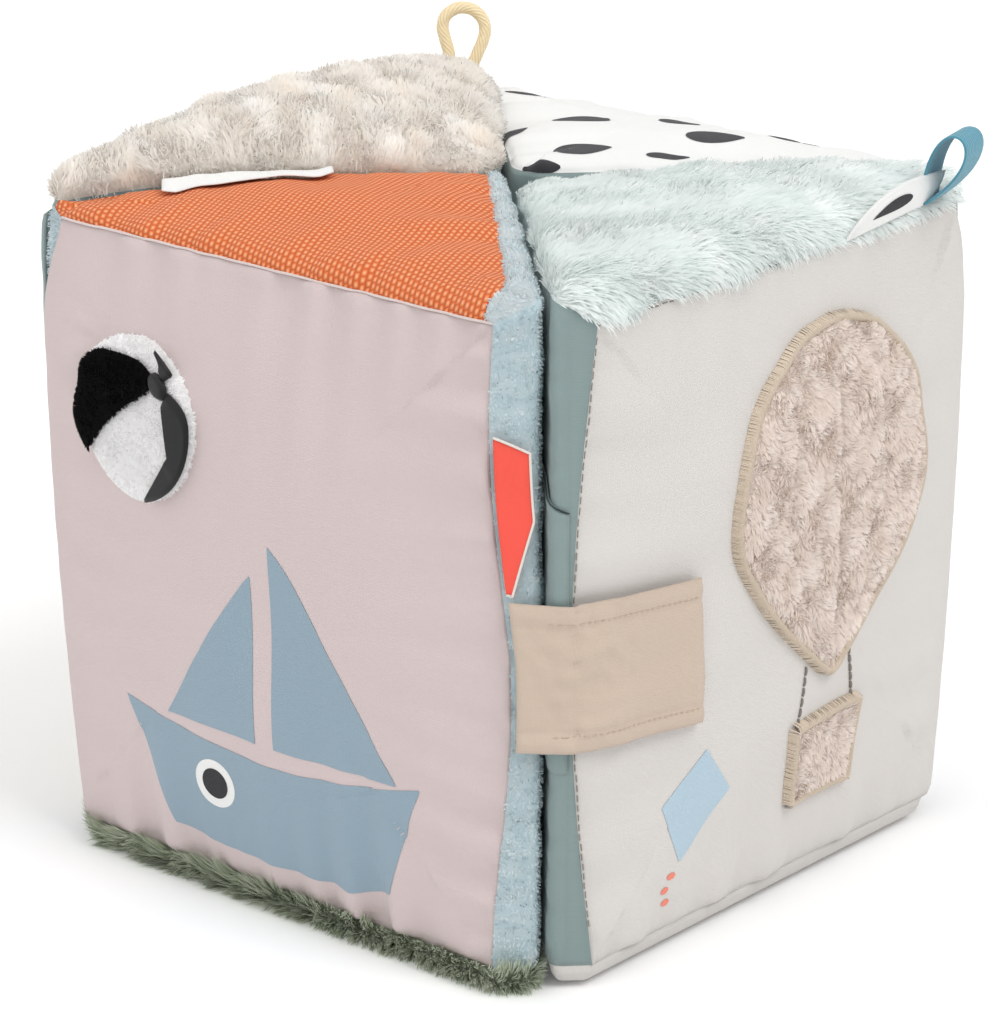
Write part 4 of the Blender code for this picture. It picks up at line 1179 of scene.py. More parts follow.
@dataclass(frozen=True)
class Cloth:
    """A woven, knitted or ribbed finish."""

    name: str
    slot: str
    colour: tuple[float, float, float]
    relief: Relief = Relief.WOVEN
    spacing: float = 0.00055
    bump: float = 0.00006
    turn: float = 0.0
    roughness: float = 0.85
    sheen: float = 0.15
    mottle: float = 0.10
    relief_shade: float = 0.12
    # How much painted shade darkens the cloth near its seams.
    painted_seam_shade: float = 0.10
    coat: float = 0.0

    def material(self) -> bpy.types.Material:
        """The finish's material, made the first time that it is asked for."""
        name = f"{self.name}_look"
        known = bpy.data.materials.get(name)
        if known:
            return known
        made, nodes, shader = new_material(name)
        place = nodes.add("ShaderNodeUVMap", uv_map="cloth").outputs[0]
        if self.turn:
            rotation = (0, 0, math.radians(self.turn))
            turned = nodes.add("ShaderNodeMapping", {"Vector": place, "Rotation": rotation})
            place = turned.outputs[0]
        relief = nodes.add("ShaderNodeGroup", node_tree=relief_group(self.relief))
        nodes.fill(relief, {"Place": place, "Spacing": self.spacing})
        # Random mottle, with painted shade near the seams and in the relief's grooves.
        mottle_and_shade = nodes.add("ShaderNodeGroup", node_tree=mottle_and_shade_group())
        nodes.fill(mottle_and_shade, {
            "Colour": linear(*self.colour), "Place": place, "Shade": relief.outputs["Shade"],
            "Seam": nodes.attribute("seam"), "Mottle": self.mottle,
            "Relief": self.relief_shade, "Painted Seam Shade": self.painted_seam_shade,
        })
        bump = nodes.add("ShaderNodeBump", {
            "Strength": 1.0, "Distance": self.bump, "Height": relief.outputs["Height"],
        })
        nodes.fill(shader, {
            "Base Color": mottle_and_shade.outputs[0], "Normal": bump.outputs[0],
            "Roughness": self.roughness, "Sheen Weight": self.sheen, "Sheen Roughness": 0.5,
            "Coat Weight": self.coat, "Specular IOR Level": 0.25,
        })
        return made


@dataclass(frozen=True)
class Fleece:
    """A fur or plush finish, coloured from painted shade at the root to the tip."""

    name: str
    slot: str
    # The colour at the roots: painted shade, darker than the tips.
    root: tuple[float, float, float]
    dark: tuple[float, float, float]
    light: tuple[float, float, float]
    roughness: float = 0.85
    through: float = 0.35
    thin: float = 0.6
    sheen: float = 0.25

    def material(self) -> bpy.types.Material:
        """The finish's material, made the first time that it is asked for."""
        name = f"{self.name}_look"
        known = bpy.data.materials.get(name)
        if known:
            return known
        made, nodes, shader = new_material(name)
        pile = nodes.add("ShaderNodeGroup", node_tree=pile_group())
        nodes.fill(pile, {
            "Root Shade": linear(*self.root), "Dark": linear(*self.dark), "Light": linear(*self.light),
            "Tip": nodes.attribute("tip"), "Tint": nodes.attribute("tint"),
        })
        nodes.fill(shader, {
            "Base Color": pile.outputs[0], "Roughness": self.roughness,
            "Sheen Weight": self.sheen, "Sheen Roughness": 0.4, "Specular IOR Level": 0.2,
        })
        through = nodes.add("ShaderNodeBsdfTranslucent", {"Color": pile.outputs[0]})
        lit = nodes.add("ShaderNodeMixShader", {
            "Fac": self.through, 1: shader.outputs[0], 2: through.outputs[0],
        })
        path = nodes.add("ShaderNodeLightPath")
        clear = nodes.add("ShaderNodeBsdfTransparent")
        shown = nodes.add("ShaderNodeMixShader", {
            "Fac": nodes.math("MULTIPLY", path.outputs["Is Shadow Ray"], self.thin),
            1: lit.outputs[0], 2: clear.outputs[0],
        })
        nodes.fill(made.node_tree.nodes["Material Output"], {"Surface": shown.outputs[0]})
        return made


Finish = Cloth | Fleece

PINK_COTTON = Cloth("pink_cotton", "pink_cotton", (213, 198, 197), mottle=0.07, painted_seam_shade=0.12)
ORANGE_KNIT = Cloth(
    "orange_knit", "orange_knit", (255, 180, 134), Relief.KNITTED, 0.00170, 0.00060, -17.0,
    0.9, 0.1, 0.12, 1.5, 0.10,
)
# A paler copy of the pink cotton: painted highlight on the pink's rolled seam edge.
PINK_HIGHLIGHT_COTTON = Cloth("pink_highlight_cotton", "pink_cotton", (228, 214, 210), mottle=0.05, painted_seam_shade=0.0)
BEIGE_COTTON = Cloth("beige_cotton", "beige_cotton", (214, 202, 186))
WHITE_COTTON = Cloth("white_cotton", "white_cotton", (240, 240, 238), mottle=0.05)
GREIGE_COTTON = Cloth("greige_cotton", "greige_cotton", (216, 212, 208), mottle=0.06, painted_seam_shade=0.10)
# Partly the lining's own grey-teal and partly painted shade: darkened for the narrow gaps between
# the wedges.
SHADED_BLUE_LINING = Cloth(
    "blue_lining", "blue_lining", (140, 158, 157), spacing=0.0004, roughness=0.6, sheen=0.3
)
TAN_COTTON = Cloth("tan_cotton", "tan_cotton", (204, 186, 170), spacing=0.0005, mottle=0.10)
CORAL_SATIN = Cloth(
    "coral_satin", "coral_satin", (246, 92, 77), spacing=0.0003, roughness=0.5, sheen=0.1,
    relief_shade=0.06,
)
TEAL_RIBBON = Cloth(
    "teal_ribbon", "teal_ribbon", (98, 162, 182), Relief.RIBBED, 0.0011, 0.00025, 0.0,
    0.55, 0.2, 0.08, 0.35, 0.0,
)
ROPE_COTTON = Cloth(
    "cotton_rope", "cotton_rope", (246, 226, 186), Relief.TWISTED, 0.0011, 0.0002, 0.0,
    0.85, 0.1, 0.10, 0.12, 0.0,
)
FASTENER = Cloth("fastener_tape", "fastener_tape", (216, 210, 200), spacing=0.0009, bump=0.0003)
FOAM = Cloth("foam", "foam", (238, 236, 228), spacing=0.0016, bump=0.0004, mottle=0.2)
DARK_PRINT = Cloth("dark_print", "white_cotton", (52, 52, 56), mottle=0.15)
BLUE_PRINT = Cloth("blue_grey_print", "pink_cotton", (150, 170, 183), mottle=0.08)
LIGHT_BLUE_PRINT = Cloth("light_blue_print", "greige_cotton", (182, 203, 216), mottle=0.08)
WHITE_PRINT = Cloth("white_print", "pink_cotton", (240, 240, 238), mottle=0.05)
CORAL_PRINT = Cloth("coral_print", "greige_cotton", (240, 140, 120), mottle=0.08)
BLACK_SATIN = Cloth(
    "black_satin", "black_satin", (15, 15, 16), spacing=0.0004, roughness=0.35, sheen=0.1,
    relief_shade=0.05,
)
# A dark cord colour that paints the shadow line under the pocket's hem.
SHADE_THREAD = Cloth("shade_thread", "blue_lining", (52, 62, 64), spacing=0.0003, painted_seam_shade=0.0)
DARK_THREAD = Cloth("dark_thread", "greige_cotton", (146, 138, 131), spacing=0.0003, painted_seam_shade=0.0)
PALE_THREAD = Cloth("pale_thread", "white_cotton", (232, 226, 218), spacing=0.0003, painted_seam_shade=0.0)
CHAMPAGNE_THREAD = Cloth(
    "champagne_thread", "rose_beige_plush", (216, 200, 180), spacing=0.0003, roughness=0.4,
    painted_seam_shade=0.0,
)
# Each fleece's first colour is the painted shade at its roots.
BEIGE_FLEECE = Fleece(
    "beige_fur", "beige_fur", (240, 233, 225), (240, 232, 222), (255, 254, 251), thin=0.85
)
MINT_FLEECE = Fleece(
    "mint_fur", "mint_fur", (229, 237, 235), (235, 241, 239), (253, 255, 254), thin=0.8
)
BLUE_FLEECE = Fleece(
    "blue_plush", "blue_plush", (204, 224, 230), (209, 228, 233), (252, 253, 253), thin=0.75
)
SAGE_FLEECE = Fleece("sage_fur", "sage_fur", (140, 152, 126), (178, 188, 162), (222, 226, 210))
BLACK_FLEECE = Fleece(
    "black_plush", "black_plush", (6, 6, 7), (9, 9, 10), (16, 16, 17), sheen=0.02
)
WHITE_FLEECE = Fleece(
    "white_plush", "white_plush", (253, 253, 253), (253, 253, 253), (255, 255, 255), thin=0.85
)
ROSE_FLEECE = Fleece(
    "rose_beige_plush", "rose_beige_plush", (232, 219, 210), (238, 226, 217), (253, 247, 242),
    thin=0.75,
)


def dress(piece: bpy.types.Object, finish: Finish, body: str, *nodes: str) -> bpy.types.Object:
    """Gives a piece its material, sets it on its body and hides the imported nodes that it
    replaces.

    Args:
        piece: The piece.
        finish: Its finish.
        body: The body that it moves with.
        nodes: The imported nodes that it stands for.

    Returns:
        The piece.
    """
    piece.data.materials.append(finish.material())
    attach(piece, body)
    if nodes:
        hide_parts(*nodes)
    LOG.info("%s: %d points, on %s", piece.name, len(piece.data.vertices), body)
    return piece


# The stuffed wedges

@dataclass
class StuffedWedge:
    """One wedge: its face, inner walls, top, underside and stuffing."""

    key: str
    shape: WedgeShape
    body: str
    face_name: str
    wall_name: str
    top_name: str
    bottom_name: str
    face_finish: Finish
    wall_finish: Finish
    top_finish: Finish
    bottom_finish: Finish
    crown: float = SIZES.top_crown
    top_pile: Pile | None = None
    wall_pile: Pile | None = None
    bottom_pile: Pile | None = None
    top_pad: float = 0.0
    top_arch: float = 0.45
    pad_reach: float = 0.06
    pad_least: float = 0.35
    pad_round: float = 0.009
    arch_half: float = 0.098
    arch_least: float = 0.55
    lumps: float = 0.0
    lump_size: float = 0.014
    wrap_low: float = 0.0
    wrap_high: float = 0.0
    top_trims: tuple[Trim, ...] = ()
    wall_trims: tuple[Trim, ...] = ()
    face_seam: SeamLook = field(default_factory=SeamLook)
    top_seam: SeamLook = field(default_factory=SeamLook)
    wall_seam: SeamLook = field(default_factory=lambda: SeamLook(fold=0.0003, slack=0.0))
    seed: int = 1

    def build(self) -> None:
        """Builds and dresses the wedge's five pieces."""
        self.face = self.shape.face(wrap_low=self.wrap_low, wrap_high=self.wrap_high)
        self.face_seam.press(self.face, self.shape, self.seed)
        piece = panel(f"{self.key}_face", self.face)
        dress(piece, self.face_finish, self.body, self.face_name)

        self.walls = self.shape.walls()
        self.wall_seam.press(self.walls, self.shape, self.seed + 20)
        self._cover(f"{self.key}_walls", self.walls, self.wall_pile, self.wall_finish,
                    self.wall_name, self.wall_trims)

        self.top = self.shape.end(1, self.crown)
        self.top_seam.press(self.top, self.shape, self.seed + 40)
        if self.top_pad:
            flat = self.top.flat
            inner = np.clip(flat[..., 0] / self.pad_reach, self.pad_least, 1)
            arch = 1 - np.clip(np.abs(flat[..., 1]) / self.arch_half, 0, 1) ** 2
            inner = inner * (self.arch_least + self.top_arch * arch)
            rounded = quarter_round(self.top.distance / self.pad_round)
            lumps = ripples(flat, self.lump_size, self.seed + 7)
            lumps = lumps + 0.5 * ripples(flat, self.lump_size / 2, self.seed + 8)
            self.top.shift((self.top_pad * inner + self.lumps * lumps) * rounded)
        self._cover(f"{self.key}_top", self.top, self.top_pile, self.top_finish, self.top_name,
                    self.top_trims)

        under = self.shape.underside()
        self._cover(f"{self.key}_underside", under, self.bottom_pile, self.bottom_finish,
                    self.bottom_name)
        self._stuff()

    def _cover(
        self, name: str, surface: Surface, pile: Pile | None, finish: Finish, node: str,
        trims: tuple[Trim, ...] = (),
    ) -> None:
        """Makes one panel, furred or plain."""
        if pile:
            piece = furred(name, surface, pile, self.seed + 60, trims)
        else:
            piece = panel(name, surface)
        dress(piece, finish, self.body, node)

    def _stuff(self) -> None:
        """Makes the foam body inside the cover."""
        inset, under, over = 0.0045, 0.004, SIZES.top - 0.001
        level = np.linspace(0.02, 0.98, 16)
        low, low_walled = self.shape.half_wall(-1, level)
        high, high_walled = self.shape.half_wall(1, level)
        keep = slice(None, None, 4)
        low, high = low[:, keep], high[:, ::-1][:, keep]
        low_walled, high_walled = low_walled[keep], high_walled[::-1][keep]
        across = np.linspace(1, -1, 12)[1:-1]
        ends = [self.shape.edge(side, level) for side in (-1, 1)]
        face = ends[0][:, None] + (ends[1] - ends[0])[:, None] * ((across + 1) / 2)[None, :, None]
        crown = SIZES.face_crown * dome(across)[None] * dome(2 * level - 1)[:, None]
        face[..., 0] += crown
        line = np.concatenate([low, high, face], 1)
        walled = np.concatenate([low_walled, high_walled, np.zeros(len(across))])
        height = self.shape.height(level[:, None], walled[None])
        middle = line.mean(1, keepdims=True)
        line = line + unit(middle - line) * inset
        height = np.clip(height, SIZES.foot + inset, None) - inset * (level[:, None] > 0.9)
        ring = np.concatenate([line, height[..., None]], -1)
        bottom, top = ring[:1].copy(), ring[-1:].copy()
        for cap, middle_height in ((bottom, under), (top, over)):
            cap[..., :2] = cap[..., :2] * 0.6 + middle[:1] * 0.4
            cap[..., 2] = middle_height
        ring = np.concatenate([bottom, ring, top])
        rows, columns = ring.shape[:2]
        faces = grid_faces(rows, columns, closed=True)
        faces += [list(range(columns))[::-1], [(rows - 1) * columns + n for n in range(columns)]]
        points = self.shape.world(ring).reshape(-1, 3)
        flat = points[:, :2]
        piece = add_piece(f"{self.key}_stuffing", points, faces, flat)
        dress(piece, FOAM, self.body, f"{self.key}_foam_core")


@dataclass
class PlushRoll:
    """The pink wedge's wall plush where it rolls over the edge of the orange top."""

    wedge: StuffedWedge
    pile: Pile
    narrow: float = 0.0042
    wide: float = 0.0076
    rise: float = 0.0014
    body: str = "pink_wedge"

    def build(self) -> None:
        """Builds the roll along the front wall and its cut, as a furred strip."""
        top = self.wedge.top
        rows, columns = top.points.shape[:2]
        steps = 16
        shape = self.wedge.shape
        row = np.arange(4, rows, dtype=float)
        line = top.flat[4:, -1]
        spread = np.linalg.norm(top.flat[4:, -1] - top.flat[4:, 0], axis=1)
        reach = line[:, 0] / line[:, 0].max()
        bend = shape.round_steps + shape.cut_steps
        wide = self.narrow + (self.wide - self.narrow) * np.clip(reach / 0.9, 0, 1)
        fade = np.clip((rows - 1 - row) / bend, 0, 1)
        wide = wide * np.sin(fade * math.pi / 2) ** 0.6 + 0.0004
        share = np.minimum(wide * math.sqrt(2) / np.maximum(spread, 1e-4), 0.45)
        across = np.linspace(0, 1, steps)[None]
        column = (columns - 1) * (1 - share[:, None] * (1 - across))
        profile = np.sqrt(np.maximum(0, 1 - (1 - across * 1.15) ** 6)) * (1 - 0.8 * across**4)
        lift = self.rise * np.minimum(1, profile) * np.clip(wide / 0.003, 0, 1)[:, None]
        grid = row[:, None] + 0 * column
        points = top.at(grid, column, lift)
        flat = top.read(top.flat, grid, column)
        edge, before = points[:, -1:], points[:, -4:-3]
        outward = unit((edge - before) * LEVEL_WAY)
        drop = UP
        points = np.concatenate([
            points, edge + outward * 0.0008 - drop * 0.0006,
            edge + outward * 0.0011 - drop * 0.0018, edge + outward * 0.0008 - drop * 0.0032,
        ], 1)
        step = unit(flat[:, -1:] - flat[:, -2:-1])
        flat = np.concatenate(
            [flat] + [flat[:, -1:] + step * run for run in (0.0010, 0.0022, 0.0036)], 1
        )
        strip = Surface(points, flat, top.inside)
        dress(furred("wall_plush_roll", strip, self.pile, 77), BLUE_FLEECE, self.body)


# Patches, prints and stitching on a face

@dataclass(frozen=True)
class FacePlace:
    """A place on one wedge's face, to put a patch, a print or stitching on."""

    shape: WedgeShape
    surface: Surface
    along: float
    height: float

    def points(self, flat: Array, lift: Array | float) -> Array:
        """Points on the face for places measured from this one."""
        return self.shape.spot(
            self.surface, self.along + flat[..., 0], self.height + flat[..., 1], lift
        )


def ellipse(width: float, height: float, count: int = 96) -> Array:
    """The outline of an ellipse round the origin."""
    angle = np.linspace(0, 2 * math.pi, count, endpoint=False)
    return np.stack([width / 2 * np.cos(angle), height / 2 * np.sin(angle)], -1)


def drop_outline(length: float, width: float, turn: float, count: int = 48) -> Array:
    """The outline of a drop, round at one end and pointed at the other."""
    angle = np.linspace(0, 2 * math.pi, count, endpoint=False)
    along = np.cos(angle)
    aside = np.sin(angle) * ((1 + along) / 2) ** 0.35 * 1.05
    spots = np.stack([along * length / 2, aside * width / 2], -1)
    cos, sin = math.cos(math.radians(turn)), math.sin(math.radians(turn))
    return spots @ np.array([[cos, sin], [-sin, cos]])


def even_outline(corners: Array, spacing: float) -> Array:
    """Points at an even spacing round a closed outline."""
    closed = np.concatenate([corners, corners[:1]])
    steps = np.linalg.norm(np.diff(closed, axis=0), axis=1)
    passed = np.concatenate([[0], np.cumsum(steps)])
    count = max(8, round(passed[-1] / spacing))
    at = np.linspace(0, passed[-1], count, endpoint=False)
    return np.stack([np.interp(at, passed, closed[:, axis]) for axis in range(2)], -1)


def star_rings(outline: Array, rings: int) -> tuple[Array, list]:
    """Rings of points from an outline's middle out to it, and their faces."""
    middle = outline.mean(0)
    shares = np.linspace(0, 1, rings + 1)[1:, None, None]
    flat = (middle + (outline - middle)[None] * shares).reshape(-1, 2)
    count = len(outline)
    faces = grid_faces(rings, count, closed=True)
    centre = len(flat)
    faces += [[n, centre, (n + 1) % count] for n in range(count)]
    return np.concatenate([flat, middle[None]]), faces


def facing(points: Array, faces: list, inside: Array) -> list:
    """The faces, turned so that the first of them looks away from a point."""
    corners = points[np.array(faces[0][:3])]
    normal = np.cross(corners[1] - corners[0], corners[2] - corners[0])
    if normal @ (corners[0] - inside) < 0:
        return [face[::-1] for face in faces]
    return faces


def printed(name: str, place: FacePlace, outlines: list[Array]) -> bpy.types.Object:
    """A print on the cloth, as a skin of ink that follows every fold."""
    spacing, ring_width, lift = 0.0012, 0.0011, 0.00014
    parts = MeshParts()
    for outline in outlines:
        size = np.ptp(outline, axis=0).max()
        even = even_outline(outline, spacing)
        flat, faces = star_rings(even, max(3, round(size / 2 / ring_width)))
        spots = place.points(flat, lift)
        faces = facing(spots, faces, place.surface.inside)
        parts.add(spots, faces, flat + [place.along, place.height])
    return parts.piece(name)


def padded_patch(
    name: str, place: FacePlace, outline: Array, thickness: float, roll: float = 0.0022,
    base: float = 0.0, dimple: Array | None = None,
) -> tuple[bpy.types.Object, Surface]:
    """A patch of soft cloth with rolled edges, as a closed form on the face.

    Args:
        name: The piece's name.
        place: Where it goes.
        outline: Its outline, round the place.
        thickness: How far it stands off the face.
        roll: How wide its rolled edge is.
        base: How far off the face its foot stands.
        dimple: Lines that press it down, each a start and an end.

    Returns:
        The piece, and its upper side as a grid for fur to grow from.
    """
    even = even_outline(outline, 0.0016)
    middle = even.mean(0)
    rings = max(6, round(np.ptp(even, axis=0).max() / 2 / 0.0016))
    shares = np.linspace(0, 1, rings + 1)[:, None, None]
    flat = middle + (even - middle)[None] * shares
    flat = np.concatenate([flat, flat[:, :1]], 1)
    reach = np.linalg.norm(even - middle, axis=1)
    away = (1 - shares[..., 0]) * np.append(reach, reach[0])[None]
    share = np.clip(away / roll, 0, 1)
    lift = base + thickness * np.sqrt(np.maximum(0, 1 - (1 - share) ** 2))
    for start, end in dimple if dimple is not None else []:
        step = end - start
        along = np.clip(((flat - start) @ step) / (step @ step), 0, 1)
        gap = np.linalg.norm(flat - start - along[..., None] * step, axis=-1)
        lift = lift - thickness * 0.6 * np.exp(-((gap / 0.0016) ** 2))
    points = place.points(flat, np.maximum(lift, base + 0.00008))
    surface = Surface(points, flat + [place.along, place.height], place.surface.inside)
    surface.distance = away
    rows, columns = points.shape[:2]
    faces = grid_faces(rows, columns)
    grid = points.reshape(-1, 3)
    faces = facing(grid, faces[len(faces) // 2:] + faces[: len(faces) // 2], place.surface.inside)
    # The seam mark round the rim, where the material paints shade.
    piece = add_piece(name, grid, faces, surface.flat.reshape(-1, 2),
                      {"seam": np.exp(-away / 0.003).ravel()})
    return piece, surface


def thread_stitches(
    name: str, starts: Array, ends: Array, outs: Array, radius: float = 0.00022,
    arch: float = 0.0003,
) -> bpy.types.Object:
    """Separate stitches, each a short arched thread.

    Args:
        name: The piece's name.
        starts: Where each stitch comes out of the cloth.
        ends: Where each goes in again.
        outs: The way off the cloth at each.
        radius: The thread's radius.
        arch: How far each stitch stands off the cloth.

    Returns:
        The piece.
    """
    parts = MeshParts()
    share = np.linspace(0, 1, 6)[:, None]
    for start, end, out in zip(starts, ends, outs):
        route = start + (end - start) * share + out * arch * np.sin(share * math.pi)
        parts.add(*tube(route, radius, 5))
    return parts.piece(name)


def satin_border(
    name: str, place: FacePlace, outline: Array, width: float, height: float,
    pitch: float = 0.00042, base: float = 0.0,
) -> bpy.types.Object:
    """A border of close threads laid across an outline, as satin stitch."""
    even = even_outline(outline, pitch)
    tangent = unit(np.roll(even, -1, 0) - np.roll(even, 1, 0))
    across = np.stack([-tangent[:, 1], tangent[:, 0]], -1)
    rng = np.random.default_rng(len(even))
    slant = across + tangent * 0.25
    shares = np.linspace(-1, 1, 7)
    wide = width / 2 * rng.uniform(0.88, 1.1, len(even))
    points, faces = [], []
    for offset in (-0.45, 0.0, 0.45):
        flat = (
            even[:, None] + slant[:, None] * (wide[:, None] * shares)[..., None]
            + tangent[:, None] * pitch * offset
        )
        crest = 0.00010 if offset == 0.0 else 0.0
        lift = base + height * np.sqrt(np.maximum(0, 1 - shares**2)) + crest
        points.append(place.points(flat, np.broadcast_to(lift, flat.shape[:2])))
    grid = np.stack(points, 1)
    count = len(even)
    for line in range(2):
        for part in range(6):
            first = (np.arange(count) * 3 + line) * 7 + part
            faces.append(np.stack([first, first + 1, first + 8, first + 7], -1))
    flat_faces = np.concatenate(faces).tolist()
    spots = grid.reshape(-1, 3)
    flat_faces = facing(spots, flat_faces, place.surface.inside)
    tone = np.repeat(rng.uniform(0, 1, count), 21)
    passed = np.repeat(np.arange(count) * pitch, 21)
    places = np.stack([passed, np.tile(shares, count * 3) * width], -1)
    return add_piece(name, spots, flat_faces, places, {"seam": tone})


# The ball patch

@dataclass
class BallPatch:
    """The ball on the pink face, with its cap turned towards the upper right."""

    wedge: StuffedWedge
    along: float = -0.0466
    height: float = 0.1400
    radius: float = 0.0235
    cap_tilt: float = math.radians(46)
    cap_turn: float = math.radians(45)
    hub_fall: float = math.radians(10.5)
    foot: float = 0.0026
    body: str = "pink_wedge"

    def spot(self, angle: Array, fall: Array) -> Array:
        """A point of the ball round its cap and down from it, as seen from afar."""
        flat = math.sin(self.cap_tilt)
        cap = np.array([flat * math.cos(self.cap_turn), flat * math.sin(self.cap_turn),
                        math.cos(self.cap_tilt)])
        first = np.array([-math.sin(self.cap_turn), math.cos(self.cap_turn), 0])
        way = first * np.cos(angle)[..., None] + np.cross(cap, first) * np.sin(angle)[..., None]
        spots = cap * np.cos(fall)[..., None] + way * np.sin(fall)[..., None]
        return spots[..., :2] * self.radius

    def horizon(self, angle: Array) -> Array:
        """How far down from the cap the ball's edge is, at an angle round the cap."""
        way = math.sin(self.cap_tilt) * np.sin(angle)
        return np.arctan2(math.cos(self.cap_tilt), -way)

    def sector(self, first: float, last: float) -> Array:
        """The outline of the panel between two of the ball's seams."""
        angles = np.radians(np.linspace(first, last, 24))
        horizons = self.horizon(angles)
        start = self.hub_fall
        down = np.linspace(0, 1, 16)
        low = self.spot(np.full(16, angles[0]), start + (horizons[0] - start) * down)
        rim = self.spot(angles, horizons)
        high = self.spot(np.full(16, angles[-1]), horizons[-1] + (start - horizons[-1]) * down)
        return np.concatenate([low, rim[1:-1], high])

    def build(self) -> None:
        """Builds the disc, the panels and the cap."""
        place = FacePlace(self.wedge.shape, self.wedge.face, self.along, self.height)
        disc, surface = padded_patch(
            "ball_disc", place, ellipse(2 * self.radius, 2 * self.radius), 0.0018
        )
        bpy.data.objects.remove(disc)
        pile = Pile(0.0010, 9.0, 0.00026, 0.002, 0.3, 0.5, (0.3, -0.6), 0.3, 0.012)
        dress(furred("ball_disc", surface, pile, 5), WHITE_FLEECE, self.body, "ball_base")
        panels = (
            ("ball_plush_panel", (12, 77), BLACK_FLEECE, "ball_plush_panel"),
            ("ball_satin_upper", (266, 300), BLACK_SATIN, "ball_satin_panel_upper"),
            ("ball_satin_lower", (157, 222), BLACK_SATIN, "ball_satin_panel_lower"),
        )
        for name, (first, last), finish, node in panels:
            outline = self.sector(first, last)
            piece, top = padded_patch(name, place, outline, 0.0010, 0.0012, self.foot)
            if isinstance(finish, Fleece):
                bpy.data.objects.remove(piece)
                short = Pile(0.0010, 12.0, 0.00026, 0.002, 0.3, 0.4, (0.3, -0.6), 0.3, 0.012)
                piece = furred(name, top, short, 6)
            dress(piece, finish, self.body, node)
        angles = np.linspace(0, 2 * math.pi, 40, endpoint=False)
        hub = self.spot(angles, np.full(40, self.hub_fall))
        piece, _ = padded_patch("ball_cap", place, hub, 0.0016, 0.0015, self.foot)
        dress(piece, BLACK_SATIN, self.body, "ball_hub")


@dataclass
class BalloonPatch:
    """The plush balloon on the mint wedge's face, with its basket and satin-stitched edge."""

    wedge: StuffedWedge
    along: float = 0.016
    height: float = 0.1195
    width: float = 0.090
    tall: float = 0.104
    neck: float = 0.30
    basket_width: float = 0.034
    basket_tall: float = 0.024
    basket_top: float = 0.055
    body: str = "mint_wedge"

    def envelope(self) -> Array:
        """The outline of the balloon, round above and drawn to a neck below."""
        angle = np.linspace(0, 2 * math.pi, 160, endpoint=False)
        across, up = np.cos(angle), np.sin(angle)
        below = np.maximum(0, -up)
        shrink = 1 - (1 - self.neck) * below**1.6
        return np.stack([across * shrink * self.width / 2, up * self.tall / 2], -1) * 0.985

    def basket(self) -> Array:
        """The outline of the basket, narrower at its foot."""
        half, low = self.basket_width / 2, self.basket_width / 2 * 0.84
        top = self.basket_top - self.height
        return np.array([[-low, top - self.basket_tall], [low, top - self.basket_tall],
                         [half, top], [-half, top]]) * [0.97, 1]

    def build(self) -> None:
        """Builds the two plush patches, their borders, the gore lines and the lines between."""
        place = FacePlace(self.wedge.shape, self.wedge.face, self.along, self.height)
        pile = Pile(0.0017, 6.0, 0.00030, 0.004, 0.35, 0.8, (0.2, -0.5), 0.8, 0.016)
        outline = self.envelope()
        gores = []
        for share in (-0.5, 0.0, 0.5):
            column = np.linspace(0.46, -0.46, 9)
            below = np.maximum(0, -column * 2)
            bulge = np.sqrt(np.maximum(0, 1 - (column * 2) ** 2))
            bulge = bulge * (1 - (1 - self.neck) * below**1.6)
            line = np.stack([share * bulge * self.width / 2, column * self.tall], -1)
            gores += list(zip(line, line[1:]))
        disc, surface = padded_patch("envelope", place, outline, 0.0026, 0.004, dimple=gores)
        bpy.data.objects.remove(disc)
        dress(furred("balloon_envelope_plush", surface, pile, 7), ROSE_FLEECE, self.body,
              "balloon_envelope")
        patch, surface = padded_patch("basket", place, self.basket(), 0.0022, 0.003)
        bpy.data.objects.remove(patch)
        dress(furred("balloon_basket_plush", surface, pile, 8), ROSE_FLEECE, self.body,
              "balloon_basket")
        for name, line in (("envelope_border", outline), ("basket_border", self.basket())):
            dress(satin_border(name, place, line, 0.0034, 0.0028), CHAMPAGNE_THREAD, self.body)
        neck = outline[np.argmin(outline[:, 1])][1]
        top = self.basket_top - self.height
        starts, ends = [], []
        for side in (-1, 1):
            first = np.array([side * 0.0105, neck + 0.004])
            last = np.array([side * self.basket_width * 0.42, top])
            steps = np.linspace(0, 1, 7)[:, None]
            line = first + (last - first) * steps
            starts += list(line[:-1] + (line[1:] - line[:-1]) * 0.1)
            ends += list(line[1:] - (line[1:] - line[:-1]) * 0.1)
        begin = place.points(np.array(starts), 0.0002)
        finish = place.points(np.array(ends), 0.0002)
        outs = np.repeat(self.wedge.shape.way(1.0, 0)[None], len(begin), 0)
        lines = thread_stitches("balloon_lines", begin, finish, outs, 0.0004)
        dress(lines, DARK_THREAD, self.body)


# Straps, tags and loops

THIN_CLOTH = 0.0007


